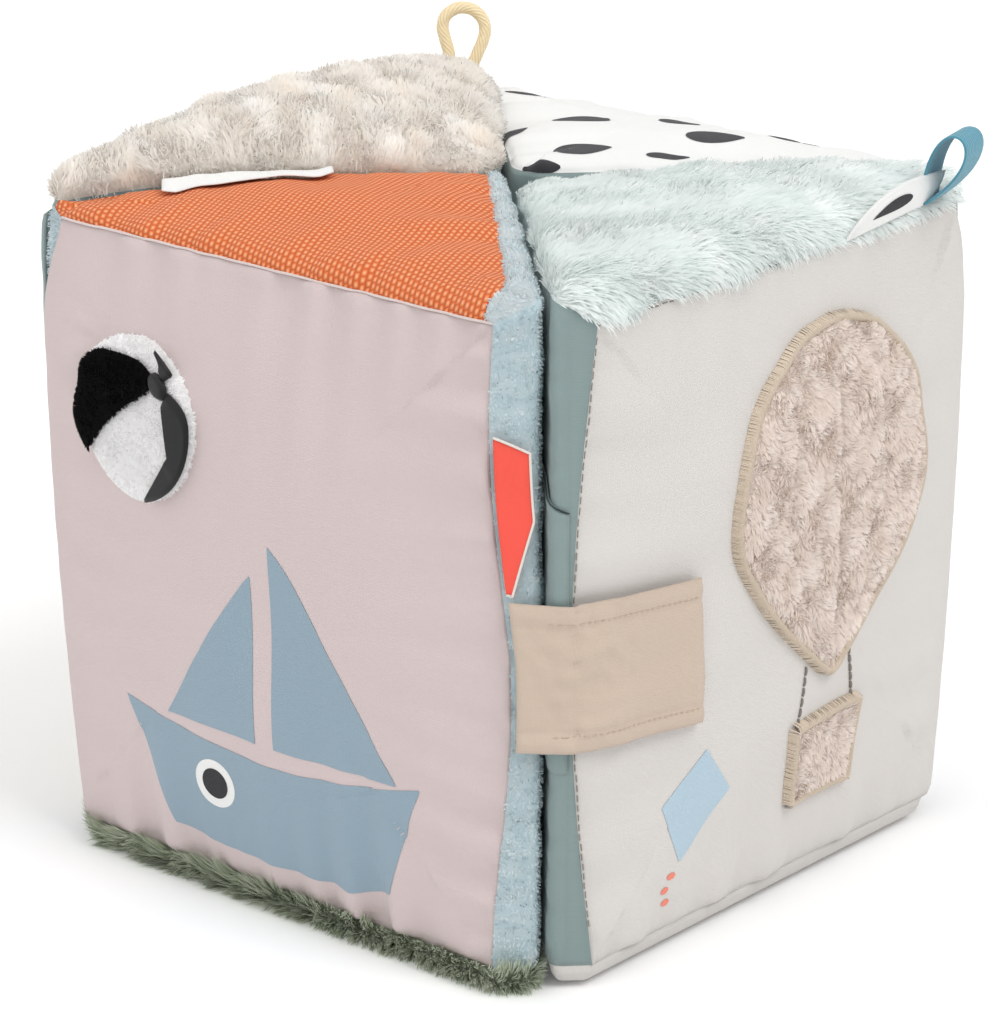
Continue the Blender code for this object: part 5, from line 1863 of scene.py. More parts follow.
@dataclass
class ClosingStrap:
    """The tan strap from the pink wedge's front seam to the mint wedge's face."""

    mint: StuffedWedge
    width: float = 0.0418
    centre: float = 0.0955
    drop: float = 0.004
    thickness: float = 0.0016
    reach: float = 0.0470
    lift: float = 0.0021
    patch_width: float = 0.034
    patch_length: float = 0.024
    whole_length: float = 0.068
    hem: float = 0.00045
    hem_groove: float = 0.0003
    slack: float = 0.0007
    fine_slack: float = 0.00025
    calm: float = 0.88
    end_fall: float = 0.0009
    seam_clear: float = 0.0008
    bend_length: float = 0.006

    def line(self, height: Array, share: Array) -> tuple[Array, Array]:
        """Points under the strap and the way out from each, for shares along its length."""
        shape = self.mint.shape
        level = SIZES.level(height)
        corner = shape.low
        cut = corner.cut(level) / math.sqrt(2)
        turn = shape.edge(-1, level)
        pink_aside = FRONT_PINK.cut(level) / math.sqrt(2) - self.seam_clear
        start_radius = FRONT_PINK.cut_radius(level, pink_aside)
        length = pink_aside + cut
        place = share * (length + self.reach)
        aside = place - pink_aside
        bent = np.clip(place / length, 0, 1)
        radius = start_radius + (corner.radius(level) - start_radius) * bent
        across = np.stack([(radius + aside) / math.sqrt(2), -(radius - aside) / math.sqrt(2)], -1)
        beyond = np.maximum(0, place - length)
        sunk = height - self.drop * beyond / self.reach
        face = shape.spot(self.mint.face, turn[..., 1] + beyond, sunk, 0.0)
        corner_points = shape.world(np.concatenate([across, height[..., None]], -1))
        on_face = (place > length)[..., None]
        points = np.where(on_face, face, corner_points)
        bend = np.clip((place - length) / self.bend_length + 0.5, 0, 1)[..., None]
        return points, unit(unit(shape.way(1.0, -1.0)) * (1 - bend) + shape.way(1.0, 0) * bend)

    def build(self) -> None:
        """Builds the strap, its hems and its two closing patches."""
        rows, columns = 60, 90
        up, share = unit_grid(rows, columns)
        up = up - 0.5
        height = self.centre + self.width * up
        points, outs = self.line(height, share)
        flat = np.stack([share * self.whole_length, up * self.width], -1)
        edge = np.minimum(0.5 - np.abs(up), 1) * self.width
        hem = self.hem * bell(edge - 0.0028, 0.0016)
        hem = hem - self.hem_groove * bell(edge - 0.0062, 0.0007)
        calm = 1 - self.calm * np.clip((share - 0.5) / 0.08, 0, 1)
        broad, fine = ripples(flat, 0.022, 71), ripples(flat, 0.007, 72)
        slack = (self.slack * broad + self.fine_slack * fine) * calm
        rise = self.lift + self.thickness + hem + slack * np.clip(share * 6, 0, 1)
        end = np.clip((share - 0.93) / 0.07, 0, 1)
        rise = rise - self.end_fall * end
        outer = points + outs * rise[..., None]
        piece = thick_sheet("closing_strap", outer, outs, self.thickness, flat)
        dress(piece, TAN_COTTON, "closing_strap", "strap")
        for name, node, body, base in (
            ("hook_patch", "strap_hook_patch", "closing_strap", 0.0012),
            ("loop_patch", "strap_loop_patch", "mint_wedge", 0.0003),
        ):
            self._patch(name, node, body, base)
        self._stitching(outer, outs, flat)

    def _patch(self, name: str, node: str, body: str, base: float) -> None:
        """Builds one half of the touch fastener, under the strap's end."""
        turn = float(self.mint.shape.edge(-1, np.array(0.5))[1])
        middle = turn + self.reach - 0.005 - self.patch_length / 2
        place = FacePlace(self.mint.shape, self.mint.face, middle, self.centre - self.drop)
        half, tall = self.patch_length / 2, self.patch_width / 2
        outline = np.array([[-half, -tall], [half, -tall], [half, tall], [-half, tall]]) * 0.97
        piece, _ = padded_patch(name, place, outline, 0.0006, 0.0008, base)
        dress(piece, FASTENER, body, node)

    def _stitching(self, outer: Array, outs: Array, flat: Array) -> None:
        """Sews the line of stitches along the strap's two hems."""
        starts, ends, ways = [], [], []
        columns = outer.shape[1]
        for row in (7, outer.shape[0] - 8):
            for column in range(14, columns - 4, 3):
                starts.append(outer[row, column])
                ends.append(outer[row, column + 2])
                ways.append(outs[row, column])
        piece = thread_stitches("strap_stitches", np.array(starts), np.array(ends),
                                np.array(ways), 0.00016, 0.00012)
        dress(piece, TAN_COTTON, "closing_strap")


@dataclass
class CoralTag:
    """The pennant tag on the pink wedge's front seam."""

    pink: StuffedWedge
    top: float = 0.1605
    tall: float = 0.0425
    slant: float = 0.004
    reach: float = 0.0095
    tip: float = 0.0016
    shoulder: float = 0.47
    lift: float = 0.0014
    root_lift: float = 0.0016
    wave: float = 0.0003
    border: float = 0.00038

    def build(self) -> None:
        """Builds the tag and its pale border."""
        rows, columns = 60, 24
        up = np.linspace(0, 1, rows)[:, None] + np.zeros((1, columns))
        out = np.linspace(0, 1, columns)[None] + np.zeros((rows, 1))
        bottom = self.top - self.tall
        height = bottom + (self.top - self.slant * out - bottom) * up
        taper = np.minimum(1, (height - bottom) / (self.tall * self.shoulder))
        wide = self.tip + (self.reach - self.tip) * taper
        aside = wide * out
        shape = self.pink.shape
        level = SIZES.level(height)
        corner = shape.high
        edge = corner.cut(level) / math.sqrt(2)
        side = edge - 0.0006 - aside
        radius = corner.cut_radius(level, side)
        place = np.stack([(radius + side) / math.sqrt(2), (radius - side) / math.sqrt(2)], -1)
        points = shape.world(np.concatenate([place, height[..., None]], -1))
        diagonal = unit(shape.way(1.0, 1.0))
        outs = np.broadcast_to(diagonal, points.shape)
        flat = np.stack([aside, height], -1)
        waves = self.wave * ripples(flat, 0.02, 4)
        curl = self.root_lift + self.lift * out**2 + waves
        outer = points + outs * curl[..., None]
        normals = grid_normals(outer, diagonal)
        piece = thick_sheet("coral_pennant", outer, normals, THIN_CLOTH, flat)
        dress(piece, CORAL_SATIN, "coral_pennant", "coral_tag")
        ring = [outer[0], outer[1:, -1], outer[-1, -2::-1]]
        ways = [normals[0], normals[1:, -1], normals[-1, -2::-1]]
        route = np.concatenate(ring) + np.concatenate(ways) * 0.00005
        points, faces, flat = tube(route, self.border, 6)
        dress(add_piece("coral_border", points, faces, flat),
              PALE_THREAD, "coral_pennant")


@dataclass
class TopLabel:
    """The bare woven label, sewn in beside the beige fur and lying over the orange top."""

    pink: StuffedWedge
    length: float = 0.048
    width: float = 0.012
    centre: float = 0.074
    inset: float = 0.0008
    root_lift: float = 0.0030
    fall: float = 0.0016
    end_curl: float = 0.0010
    wave: float = 0.0003
    smoothing: int = 6

    def build(self) -> None:
        """Builds the label, with its left end a little turned up."""
        rows, columns = 16, 64
        along = np.linspace(-0.5, 0.5, columns)[None] * self.length + np.zeros((rows, 1))
        out = np.linspace(0, 1, rows)[:, None] + np.zeros((1, columns))
        aside = SIZES.gap / 2 + self.inset + self.width * out
        shape = self.pink.shape
        plan = shape.corner_point(-1, self.centre + along, aside)
        surface = self.pink.top
        own = surface.flat.reshape(-1, 2)
        heights = surface.points[..., 2].ravel()
        rest = np.array([
            heights[np.argmin(((own - spot) ** 2).sum(1))] for spot in plan.reshape(-1, 2)
        ]).reshape(rows, columns)
        for _ in range(self.smoothing):
            rest[:, 1:-1] = (rest[:, :-2] + rest[:, 1:-1] + rest[:, 2:]) / 3
            rest[1:-1] = (rest[:-2] + rest[1:-1] + rest[2:]) / 3
        end = np.clip((np.abs(along) - self.length * 0.42) / (self.length * 0.08), 0, 1)
        flat = np.stack([along, aside], -1)
        lift = self.root_lift - self.fall * out + self.end_curl * end * out
        lift = lift + self.wave * ripples(flat, 0.02, 8)
        outer = shape.world(np.concatenate([plan, (rest + lift)[..., None]], -1))
        normals = grid_normals(outer, UP)
        piece = thick_sheet("bare_label", outer, normals, THIN_CLOTH, flat)
        dress(piece, WHITE_COTTON, "label", "top_label")


@dataclass
class LeafTag:
    """The leaf-shaped white tag with one dark drop, in the mint top's front seam."""

    shape: WedgeShape = MINT
    start: float = 0.025
    end: float = 0.0605
    tip: tuple[float, float] = (0.0697, 0.0085)
    bulge: float = 0.0052
    thickness: float = 0.0012
    lean: float = math.radians(6)

    def grid(self, across: Array, up: Array, lift: Array | float) -> Array:
        """Points of the tag for shares across its root and up to its upper edge."""
        root = self.start + (self.end - self.start) * across
        crest_along = self.start + (self.tip[0] - self.start) * across
        rise = self.tip[1] * across**0.8 + self.bulge * np.sin(math.pi * across**0.8)
        along = root + (crest_along - root) * up
        height = rise * up
        edge = self.shape.edge(1, np.array(1.0))[0]
        bent = 0.0012 * np.sin(math.pi * up) * across
        own = np.stack([
            edge + 0.0012 + height * math.sin(self.lean) + lift + bent, along,
            SIZES.top - 0.0006 + height + 0.0030 * across,
        ], -1)
        return self.shape.world(own)

    def build(self) -> None:
        """Builds the tag and the drop printed on it."""
        rows, columns = 26, 48
        across = np.linspace(0.0, 1, columns)[None] + np.zeros((rows, 1))
        up = np.linspace(0, 1, rows)[:, None] + 0 * across
        outer = self.grid(across, up, self.thickness)
        out = self.shape.way(1.0, 0)
        normals = np.broadcast_to(out, outer.shape)
        flat = np.stack([0.044 * across, 0.013 * up], -1)
        piece = thick_sheet("leaf_tag", outer, normals, self.thickness, flat)
        dress(piece, WHITE_COTTON, "leaf_tag", "drop_tag")
        outline = drop_outline(0.44, 0.44, 14) + [0.47, 0.50]
        flat, faces = star_rings(outline, 8)
        points = self.grid(np.clip(flat[:, 0], 0, 1), flat[:, 1], self.thickness + 0.00014)
        faces = facing(points, faces, self.shape.inside())
        drop = add_piece("leaf_drop", points, faces, flat * 0.04)
        dress(drop, DARK_PRINT, "leaf_tag")


@dataclass
class RibbonLoop:
    """The folded teal ribbon at the right corner."""

    centre: float = 0.0655
    clear: float = 0.0006
    width: float = 0.0135
    length: float = 0.0235
    opening: float = 0.0092
    thickness: float = 0.0009
    lean: float = math.radians(62)
    turn: float = math.radians(32)
    first: float = 0.45

    def build(self) -> None:
        """Builds the ribbon as one bent band."""
        rows, columns = 14, 90
        up = UP
        width_way = np.array([math.sin(self.turn), math.cos(self.turn), 0])
        out = np.array([width_way[1], -width_way[0], 0])
        root_x = float(MINT.edge(1, np.array(1.0))[0]) + self.clear
        root = MINT.world(np.array([root_x, self.centre, SIZES.top + 0.0024]))
        along = out * math.cos(self.lean) + up * math.sin(self.lean)
        across = up * math.cos(self.lean) - out * math.sin(self.lean)
        angle = np.linspace(self.first, 2 * math.pi - self.first, columns)
        run = self.length * (1 - np.cos(angle)) / 2
        start = self.thickness - self.length * (1 - math.cos(self.first)) / 2
        open_share = np.sin(angle) * np.sin(angle / 2) / 0.77
        line = (along * (run + start)[:, None]
                + across * (self.opening / 2 * open_share)[:, None] + root)
        beside = np.linspace(-0.5, 0.5, rows)
        outer = line[None] + width_way[None, None] * (self.width * beside)[:, None, None]
        middle = line.mean(0)
        normals = unit(np.cross(np.gradient(outer, axis=1), width_way[None, None]))
        if (normals[0] * (outer[0] - middle)).sum() < 0:
            normals = -normals
        outer = outer + normals * self.thickness / 2
        passed = passed_along(line)
        flat = np.stack(np.broadcast_arrays((self.width * beside)[:, None], passed[None]), -1)
        piece = thick_sheet("ribbon_loop_band", outer, normals, self.thickness, flat)
        dress(piece, TEAL_RIBBON, "ribbon", "ribbon_loop")


@dataclass
class RopeLoop:
    """The cotton rope loop, sewn in at the back corner."""

    diameter: float = 0.0038
    plies: int = 3
    twist: float = 0.013
    points: tuple = (
        (-0.0084, 0.1215, 0.1997), (-0.0088, 0.1222, 0.2042), (-0.0099, 0.1231, 0.2083),
        (-0.0105, 0.1239, 0.2118), (-0.0094, 0.1245, 0.2149), (-0.0064, 0.1249, 0.2169),
        (-0.0029, 0.1249, 0.2171), (0.0004, 0.1245, 0.2155), (0.0024, 0.1239, 0.2124),
        (0.0024, 0.1231, 0.2088), (0.0007, 0.1222, 0.2046), (-0.0016, 0.1215, 0.1997),
    )

    def build(self) -> None:
        route = smooth_route(np.array(self.points), 14) + np.array(SIZES.centre)
        sides = 30
        passed = passed_along(route)
        angle = np.linspace(0, 2 * math.pi, sides, endpoint=False)
        turned = angle[None] - passed[:, None] / self.twist * 2 * math.pi
        groove = 1 - 0.05 * (1 - np.abs(np.cos(self.plies / 2 * turned))) ** 2
        points, faces, flat = tube(route, self.diameter / 2 * groove, sides)
        piece = add_piece("rope", points, faces, flat)
        dress(piece, ROPE_COTTON, "beige_wedge", "rope_loop")
        path = [tuple(spot) for spot in route[::6]]
        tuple(path[0])


@dataclass
class HingeTapes:
    """The three tapes that join the wedges at the left, back and right corners."""

    leaf: float = 0.0112
    hidden: float = 0.0022
    thickness: float = 0.001

    def build(self) -> None:
        """Builds each tape as one strip over both wedges' cuts, bending between them."""
        joints = (
            ("left", LEFT, (PINK, -1, self.hidden), (BEIGE, 1, self.leaf), "beige", "pink"),
            ("back", BACK, (BEIGE, -1, self.leaf), (DOTS, 1, self.leaf), "beige", "dots"),
            ("right", RIGHT, (DOTS, -1, self.leaf), (MINT, 1, self.hidden), "dots", "mint"),
        )
        for name, corner, first, second, one, two in joints:
            self._tape(name, corner, (first, second), one, two)

    def _tape(
        self, name: str, corner: CornerShape, sides: tuple, one: str, two: str
    ) -> None:
        """Builds one tape.

        Args:
            name: The corner's name.
            corner: The corner's shape.
            sides: For each half, its wedge, the corner's side on it, and how far it shows.
            one: The wedge that the other one turns on.
            two: The wedge that turns.
        """
        bodies = (f"{one}_wedge", f"{two}_wedge")
        nodes = (f"{name}_tape_{one}", f"{name}_tape_{two}")
        rows, half = 70, 9
        level = np.linspace(0, 1, rows)[:, None] * 0.957 + 0.0215
        halves = []
        for wedge, at, reach in sides:
            aside = np.linspace(reach, 0.0, half)[None]
            radius = corner.cut_radius(level, aside) + 0.0003 + self.thickness
            plan = wedge.corner_point(at, radius, aside)
            height = wedge.height(level, corner.ridge * (1 - aside / self.leaf))
            own = np.concatenate([plan, np.broadcast_to(height, plan.shape[:2])[..., None]], -1)
            halves.append(wedge.world(own))
        outer = np.concatenate([halves[0], halves[1][:, -2::-1]], 1)
        reach = np.linspace(-sides[0][2], sides[1][2], 2 * half - 1)[None]
        flat = np.stack(np.broadcast_arrays(reach, level * SIZES.seam_height), -1)
        middle = np.array(SIZES.centre)
        way = outer[rows // 2, half - 1] - middle
        normals = grid_normals(outer, unit(way * LEVEL_WAY))
        ripple = 0.00012 * ripples(flat, 0.012, 33)
        piece = thick_sheet(f"{name}_hinge_tape", outer + normals * ripple[..., None], normals,
                            self.thickness, flat)
        piece.data.materials.append(SHADED_BLUE_LINING.material())
        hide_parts(*nodes)
        tuple(self._end(outer, bodies, nodes, 0))
        tuple(self._end(outer, bodies, nodes, 1))
        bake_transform(piece)

    def _end(self, outer: Array, bodies: tuple, nodes: tuple, which: int) -> Array:
        """Where the bend between the two wedges starts or ends."""
        low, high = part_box(nodes[which])
        middle = np.array((low + high) / 2)
        hinge = outer[outer.shape[0] // 2, outer.shape[1] // 2]
        step = (middle - hinge) * LEVEL_WAY
        return hinge + unit(step) * 0.0012


@dataclass
class WallPocket:
    """The flat pocket on the mint wedge's front wall, with its hemmed mouth."""

    mint: StuffedWedge
    bottom: float = 0.066
    top: float = 0.143
    reach: float = 0.070
    start: float = 0.0008
    over_cut: float = 0.0107
    sag: float = 0.0052
    sag_reach: float = 0.0125
    lift: float = 0.0008
    hem: float = 0.0004
    hem_shade_line: float = 0.00026

    def build(self) -> None:
        """Builds the pocket's cloth over the cut and the wall, with a rolled hem and a painted
        shadow line under it.
        """
        rows, columns = 60, 60
        walls = self.mint.walls
        flat = walls.flat
        total = self.reach + self.over_cut
        across = np.linspace(self.start, total, columns)[None] + np.zeros((rows, 1))
        hung = 1 - np.clip((across - self.start) / self.sag_reach, 0, 1)
        sag = self.sag * hung**0.7
        up = np.linspace(0, 1, rows)[:, None]
        height = self.bottom + (self.top - self.bottom - sag) * up
        passed = flat[0, :, 0]
        column = np.interp(across, passed, np.arange(len(passed)))
        row = SIZES.level(height) * (flat.shape[0] - 1)
        edge = (1 - up) * (self.top - self.bottom)
        hem = self.hem * bell(edge - 0.0016, 0.0014)
        outer = walls.at(row, column, self.lift + hem + 0 * across)
        normals = walls.read(walls.normals, row, column)
        places = np.stack([across, height], -1)
        piece = thick_sheet("mint_pocket", outer, unit(normals), THIN_CLOTH, places)
        dress(piece, SHADED_BLUE_LINING, "mint_wedge", "mint_wall_pocket")
        # A thin dark cord along the pocket's mouth: painted shadow under its hem.
        route = outer[-1] + unit(normals[-1]) * 0.0001
        points, faces, flat = tube(route[:34], self.hem_shade_line, 6)
        shade_line = add_piece("pocket_hem_shade_line", points, faces, flat)
        dress(shade_line, SHADE_THREAD, "mint_wedge")


# Prints

@dataclass
class BoatPrint:
    """A generic sailing boat with a porthole, printed on the pink face."""

    wedge: StuffedWedge
    along: float = 0.000
    height: float = 0.060
    body: str = "pink_wedge"

    def build(self) -> None:
        """Prints the hull, the mast, the two sails and the porthole."""
        place = FacePlace(self.wedge.shape, self.wedge.face, self.along, self.height)
        share = np.linspace(0, 1, 24)
        top = np.stack([-0.056 + 0.112 * share, -0.012 + 0.007 * (2 * share - 1) ** 2], -1)
        bottom_x = 0.043 - 0.083 * share
        bottom = np.stack([bottom_x, -0.044 + 0.004 * ((bottom_x) / 0.043) ** 4], -1)
        hull = np.concatenate([top, bottom])
        curve = np.linspace(0, 1, 24)
        main_sail = np.concatenate([
            np.stack([np.full(24, 0.004), -0.006 + 0.060 * curve], -1),
            np.stack([0.004 + 0.044 * curve**0.85, 0.054 - 0.060 * curve], -1),
        ])
        fore_sail = np.concatenate([
            np.stack([np.full(24, -0.003), -0.006 + 0.050 * curve], -1),
            np.stack([-0.003 - 0.036 * curve**0.9, 0.044 - 0.050 * curve], -1),
        ])
        blue = printed("boat_print", place, [hull, main_sail, fore_sail])
        dress(blue, BLUE_PRINT, self.body)
        porthole = FacePlace(
            self.wedge.shape, self.wedge.face, self.along - 0.022, self.height - 0.024
        )
        ring = _lifted(porthole, 0.00006)
        dress(printed("porthole_ring", ring, [ellipse(0.0150, 0.0150)]), WHITE_PRINT, self.body)
        disc = _lifted(porthole, 0.00012)
        dress(printed("porthole_disc", disc, [ellipse(0.0095, 0.0095)]), DARK_PRINT, self.body)


@dataclass(frozen=True)
class RaisedPlace(FacePlace):
    """A place whose prints lie on top of another print."""

    extra: float = 0.0

    def points(self, flat: Array, lift: Array | float) -> Array:
        """Points on the face, a little further off it."""
        return super().points(flat, np.asarray(lift) + self.extra)


def _lifted(place: FacePlace, extra: float) -> RaisedPlace:
    """The same place, for a print that lies on another one."""
    return RaisedPlace(place.shape, place.surface, place.along, place.height, extra)


@dataclass
class KitePrint:
    """A generic small kite with a tail, printed low on the mint wedge's face."""

    wedge: StuffedWedge
    along: float = -0.041
    height: float = 0.041
    body: str = "mint_wedge"

    def build(self) -> None:
        """Prints the kite, its cross and its tail."""
        place = FacePlace(self.wedge.shape, self.wedge.face, self.along, self.height)
        kite = np.array([[0.004, 0.019], [0.015, 0.004], [-0.004, -0.013], [-0.013, 0.006]])
        dress(printed("kite_print", place, [kite]), LIGHT_BLUE_PRINT, self.body)
        bows = [ellipse(0.0036, 0.0022) + spot
                for spot in ([-0.0065, -0.0165], [-0.0085, -0.0205], [-0.0075, -0.0245])]
        dress(printed("kite_tail", place, bows), CORAL_PRINT, self.body)


@dataclass
class DropPrints:
    """The dark drops printed on the white top, and a scatter of them on its face."""

    wedge: StuffedWedge
    body: str = "dots_wedge"
    top_drops: tuple = (
        (0.0130, 0.1000, 0.013, 0.0050, 0), (0.0260, 0.0560, 0.018, 0.0105, 8),
        (0.0560, 0.0590, 0.013, 0.0080, 180), (0.0020, 0.0420, 0.016, 0.014, 200),
        (0.0230, 0.0175, 0.017, 0.0150, 175), (0.0630, 0.0300, 0.0175, 0.0135, 178),
        (0.0880, 0.0390, 0.0170, 0.0100, 176), (0.0095, 0.0030, 0.012, 0.007, 180),
        (0.0470, 0.0100, 0.013, 0.006, 176),
    )

    def build(self) -> None:
        """Prints the drops, each following the cloth."""
        surface = self.wedge.top
        turn = math.radians(self.wedge.shape.turn)
        cos, sin = math.cos(turn), math.sin(turn)
        own = surface.flat.reshape(-1, 2)
        drops = MeshParts()
        for x, y, length, width, angle in self.top_drops:
            outline = even_outline(drop_outline(length, width, angle), 0.001) + [x, y]
            flat, faces = star_rings(outline, max(4, round(length / 0.002)))
            plan = np.stack([flat[:, 0] * cos + flat[:, 1] * sin,
                             flat[:, 1] * cos - flat[:, 0] * sin], -1)
            places = self._on_top(surface, plan)
            drops.add(places, facing(places, faces, surface.inside), flat)
        dress(drops.piece("top_drops"), DARK_PRINT, self.body)
        place = FacePlace(self.wedge.shape, self.wedge.face, 0.0, 0.0)
        rng = np.random.default_rng(12)
        spots = []
        for row in range(5):
            for column in range(5):
                along = -0.072 + 0.036 * column + (0.018 if row % 2 else 0) - 0.006
                height = 0.030 + 0.034 * row
                if abs(along) < 0.082:
                    size = rng.uniform(0.8, 1.1)
                    turn_way = rng.choice([90, 270]) + rng.uniform(-15, 15)
                    drop = drop_outline(0.017 * size, 0.010 * size, turn_way)
                    spots.append(drop + [along, height])
        dress(printed("face_drops", place, spots), DARK_PRINT, self.body)

    def _on_top(self, surface: Surface, plan: Array) -> Array:
        """Points on the top for places in the wedge's own plan."""
        rows, columns = surface.flat.shape[:2]
        lines = surface.flat[:, :, 0].mean(1)
        row = np.interp(plan[:, 0], lines, np.arange(rows))
        for _ in range(4):
            low = surface.read(surface.flat, row, np.zeros(len(plan)))
            high = surface.read(surface.flat, row, np.full(len(plan), columns - 1.0))
            wide = np.maximum(high[:, 1] - low[:, 1], 1e-6)
            share = np.clip((plan[:, 1] - low[:, 1]) / wide, 0, 1)
            column = share * (columns - 1)
            here = surface.read(surface.flat, row, column)
            slope = (lines[-1] - lines[10]) / (rows - 11)
            row = np.clip(row + (plan[:, 0] - here[:, 0]) / slope * 0.8, 0, rows - 1)
        return surface.at(row, column, 0.00016)


@dataclass
class SeamHighlight:
    """The pink's folded edge in the seam between its face and the top, paler as a painted
    highlight.
    """

    wedge: StuffedWedge
    radius: float = 0.00034
    body: str = "pink_wedge"

    def build(self) -> None:
        """Builds the edge as a thin round fold along the seam, coloured paler as a painted
        highlight.
        """
        top = self.wedge.top
        route = top.points[-1] + top.normals[-1] * self.radius * 0.8
        points, faces, flat = tube(route, np.full((len(route), 8), self.radius), 8)
        piece = add_piece("pink_seam_highlight", points, faces, flat)
        dress(piece, PINK_HIGHLIGHT_COTTON, self.body)


@dataclass
class SeamStitches:
    """The dark stitches that show along the mint face's front seam."""

    wedge: StuffedWedge
    pitch: float = 0.0030
    length: float = 0.0019
    body: str = "mint_wedge"

    def build(self) -> None:
        """Sews stitches down the front seam, and along the one under the fur."""
        shape, face = self.wedge.shape, self.wedge.face
        heights = np.arange(0.020, 0.186, self.pitch)
        rng = np.random.default_rng(3)
        aside = 0.0005 + rng.uniform(-0.00015, 0.00025, len(heights))
        starts, ends = [], []
        for up, where in ((0.0, starts), (self.length, ends)):
            level = SIZES.level(heights + up)
            low = shape.edge(-1, level)[..., 1]
            where.append(shape.spot(face, low + aside, heights + up, 0.0001))
        along = np.arange(-0.080, 0.080, self.pitch)
        height = SIZES.top - 0.0008 - rng.uniform(0, 0.0003, len(along))
        for step, where in ((0.0, starts), (self.length, ends)):
            where.append(shape.spot(face, along + step, height, 0.0001))
        first, last = np.concatenate(starts), np.concatenate(ends)
        outs = unit(first - shape.inside())
        piece = thread_stitches("seam_stitches", first, last, outs, 0.00019, 0.0001)
        dress(piece, DARK_THREAD, self.body)


# Floor, light and camera

def way_to(side: float, up: float) -> Vector:
    """The way to something at an azimuth and an elevation, in radians."""
    level = math.cos(up)
    return Vector((math.sin(side) * level, -math.cos(side) * level, math.sin(up)))


@dataclass
class Studio:
    """A pale floor, soft light and the camera at the photograph's angle."""

    azimuth: float = math.radians(-4.29)
    elevation: float = math.radians(19.03)
    distance: float = 1.323
    focal: float = 4546 * 36 / 1024
    look_at: tuple = (-0.0039, 0.0, 0.0957)
    world_light: float = 0.62

    def build(self) -> None:
        """Sets up the floor, the world, the lamps and the camera."""
        self._floor()
        self._world()
        self._lamp("key", (44, 52), 1.05, 26)
        self._lamp("fill", (-58, 40), 0.55, 60)
        self._lamp("above", (0, 84), 0.50, 50)
        self._camera()

    def _floor(self) -> None:
        """Makes the floor, which shows white to the camera and keeps the shadow."""
        size = 12.0
        points = np.array([[-size, -size, 0], [size, -size, 0], [size, size, 0], [-size, size, 0]])
        floor = add_piece("floor", points, [[0, 1, 2, 3]])
        made, nodes, shader = new_material("floor_paper")
        tone = nodes.math("MULTIPLY_ADD", nodes.noise(None, 4.0), 0.004, 0.955)
        colour = nodes.add("ShaderNodeCombineColor", {0: tone, 1: tone, 2: tone})
        path = nodes.add("ShaderNodeLightPath")
        nodes.fill(shader, {
            "Base Color": colour.outputs[0], "Roughness": 1.0, "Specular IOR Level": 0.0,
            "Emission Strength": nodes.math("MULTIPLY", path.outputs["Is Camera Ray"], 0.06),
            "Emission Color": (1, 1, 1, 1),
        })
        floor.data.materials.append(made)
        floor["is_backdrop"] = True

    def _world(self) -> None:
        """Makes the world a plain soft light that shows white to the camera."""
        world = bpy.data.worlds.new("soft_room")
        world.use_nodes = True
        bpy.context.scene.world = world
        nodes = Nodes(world.node_tree)
        path = nodes.add("ShaderNodeLightPath").outputs
        seen = nodes.math("MAXIMUM", path["Is Camera Ray"], path["Is Transmission Ray"])
        seen = nodes.math("MAXIMUM", seen, path["Is Glossy Ray"])
        strength = nodes.math("MULTIPLY_ADD", seen, 1 - self.world_light, self.world_light)
        back = world.node_tree.nodes["Background"]
        nodes.fill(back, {"Color": (1, 1, 1, 1), "Strength": strength})

    def _lamp(self, name: str, way: tuple[float, float], strength: float, spread: float) -> None:
        """Adds a distant soft lamp from an azimuth and an elevation, both in degrees."""
        lamp = bpy.data.lights.new(name, "SUN")
        lamp.energy = strength
        lamp.angle = math.radians(spread)
        toward = way_to(math.radians(way[0]), math.radians(way[1]))
        linked(name, lamp).rotation_euler = toward.to_track_quat("Z", "Y").to_euler()

    def _camera(self) -> None:
        """Places the camera."""
        camera = bpy.data.cameras.new("camera")
        camera.lens = self.focal
        camera.sensor_width = 36
        back = way_to(self.azimuth, self.elevation)
        holder = linked("camera", camera)
        holder.location = SIZES.centre + Vector(self.look_at) + back * self.distance
        holder.rotation_euler = back.to_track_quat("Z", "Y").to_euler()
        bpy.context.scene.camera = holder
        bpy.context.scene.view_settings.view_transform = "Standard"


def corners(box: object) -> list[list[float]]:
    """A box's two corners as plain lists of numbers."""
    return [[float(number) for number in corner] for corner in box]


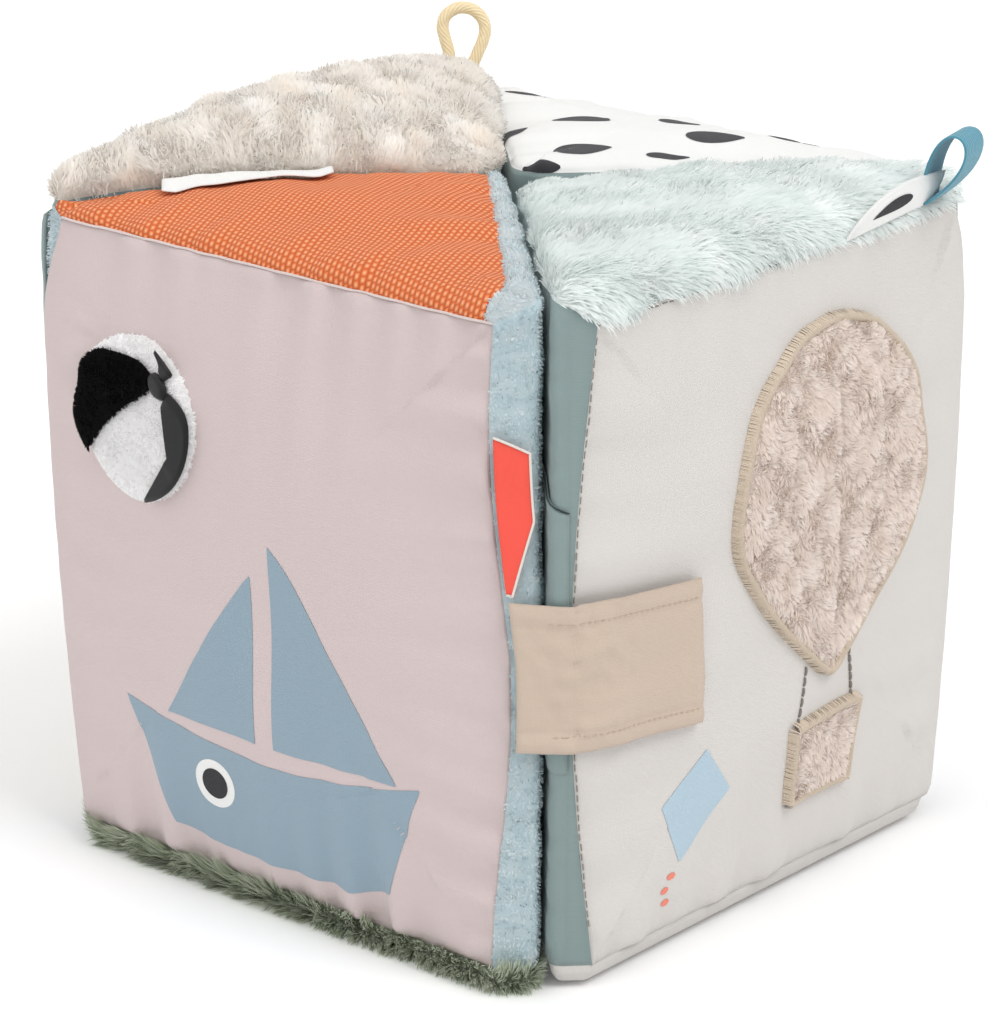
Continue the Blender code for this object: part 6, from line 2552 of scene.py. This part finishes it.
def build_wedges() -> dict[str, StuffedWedge]:
    """Builds the four wedges.

    Returns:
        The wedges by name.
    """
    beige_pile = Pile(
        length=0.0040, density=2.9, width=0.00048, clump=0.0050, pull=0.16, lean=0.85,
        flow=(0.2, -0.3), swirl=0.6, swirl_size=0.018, edge_reach=0.004, edge_lean=0.22,
        stray=0.34, soft_light=0.88, spill_from=0.01,
    )
    mint_pile = Pile(
        length=0.0040, density=3.4, width=0.00042, clump=0.0070, pull=0.14, lean=1.15,
        flow=(0.55, 0.45), swirl=0.35, swirl_size=0.034, edge_reach=0.004, edge_lean=0.50,
        stray=0.20, soft_light=0.9, spill_from=0.085,
    )
    plush = Pile(
        length=0.0011, density=1.85, width=0.00038, clump=0.0020, pull=0.35, lean=0.5,
        flow=(0.3, -0.6), swirl=0.6, swirl_size=0.008, edge_reach=0.003, edge_lean=0.0,
        stray=0.3, soft_light=0.85,
    )
    shaggy = Pile(
        length=0.0058, density=2.8, width=0.00036, clump=0.0048, pull=0.5, lean=0.5,
        flow=(0.3, 0.1), swirl=0.7, swirl_size=0.014, edge_reach=0.012, edge_lean=1.0,
        stray=0.35, soft_light=0.5,
    )
    apex = Trim(left=-1, right=0.012, low=-1, high=1, soft=0.045, keep=0.35)
    tip = Trim(left=-1, right=0.006, low=-1, high=1, soft=0.030, keep=0.45)
    wedges = {
        "beige": StuffedWedge(
            "beige", BEIGE, "beige_wedge", "beige_face_panel", "beige_wall_lining",
            "beige_fur_top", "beige_bottom_panel", BEIGE_COTTON, SHADED_BLUE_LINING, BEIGE_FLEECE,
            BEIGE_COTTON, crown=0.0055, top_pile=beige_pile, top_pad=0.0080, lumps=0.0010,
            top_arch=0.85, top_trims=(tip,), seed=100,
        ),
        "pink": StuffedWedge(
            "pink", PINK, "pink_wedge", "pink_face_panel", "pink_wall_plush",
            "orange_knit_top", "sage_fur_bottom", PINK_COTTON, BLUE_FLEECE, ORANGE_KNIT,
            SAGE_FLEECE, wall_pile=plush, bottom_pile=shaggy, wrap_low=0.82,
            wall_trims=(Trim(-1, 0.0125, -1, 0.170, 0.001, 0.02),),
            face_seam=SeamLook(gather=0.00038, spacing=0.0085, reach=0.012, fold=0.0017,
                               fold_spacing=0.020, fold_reach=0.028, slack=0.0006),
            top_seam=SeamLook(fold=0.0013, fold_spacing=0.018, fold_reach=0.018, slack=0.0007,
                              slack_size=0.03),
            crown=0.0048, seed=200,
        ),
        "dots": StuffedWedge(
            "dots", DOTS, "dots_wedge", "dots_face_panel", "dots_wall_lining",
            "dots_cotton_top", "dots_bottom_panel", WHITE_COTTON, SHADED_BLUE_LINING, WHITE_COTTON,
            WHITE_COTTON, seed=300,
        ),
        "mint": StuffedWedge(
            "mint", MINT, "mint_wedge", "greige_face_panel", "mint_wall_lining",
            "mint_fur_top", "mint_bottom_panel", GREIGE_COTTON, SHADED_BLUE_LINING, MINT_FLEECE,
            GREIGE_COTTON, top_pile=mint_pile, top_pad=0.0020, lumps=0.0004, wrap_high=0.82,
            top_trims=(apex,),
            face_seam=SeamLook(gather=0.00035, spacing=0.010, reach=0.010, fold=0.0014,
                               fold_spacing=0.026, fold_reach=0.030, slack=0.0008),
            seed=400,
        ),
    }
    for wedge in wedges.values():
        wedge.build()
    PlushRoll(wedges["pink"], plush).build()
    return wedges


def main() -> None:
    """Builds every piece in order, and works out the sizes before and after."""
    logging.basicConfig(level=logging.INFO, format="%(message)s")
    packed = corners(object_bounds())
    Studio().build()
    RopeLoop().build()
    wedges = build_wedges()
    pieces = [
        HingeTapes(), ClosingStrap(wedges["mint"]), CoralTag(wedges["pink"]),
        TopLabel(wedges["pink"]), LeafTag(), RibbonLoop(), WallPocket(wedges["mint"]),
        BallPatch(wedges["pink"]), BalloonPatch(wedges["mint"]), BoatPrint(wedges["pink"]),
        KitePrint(wedges["mint"]), DropPrints(wedges["dots"]), SeamStitches(wedges["mint"]),
        SeamHighlight(wedges["pink"]),
    ]
    for piece in pieces:
        piece.build()
    {"cad": packed, "visual": corners(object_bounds())}


if __name__ == "__main__":
    main()
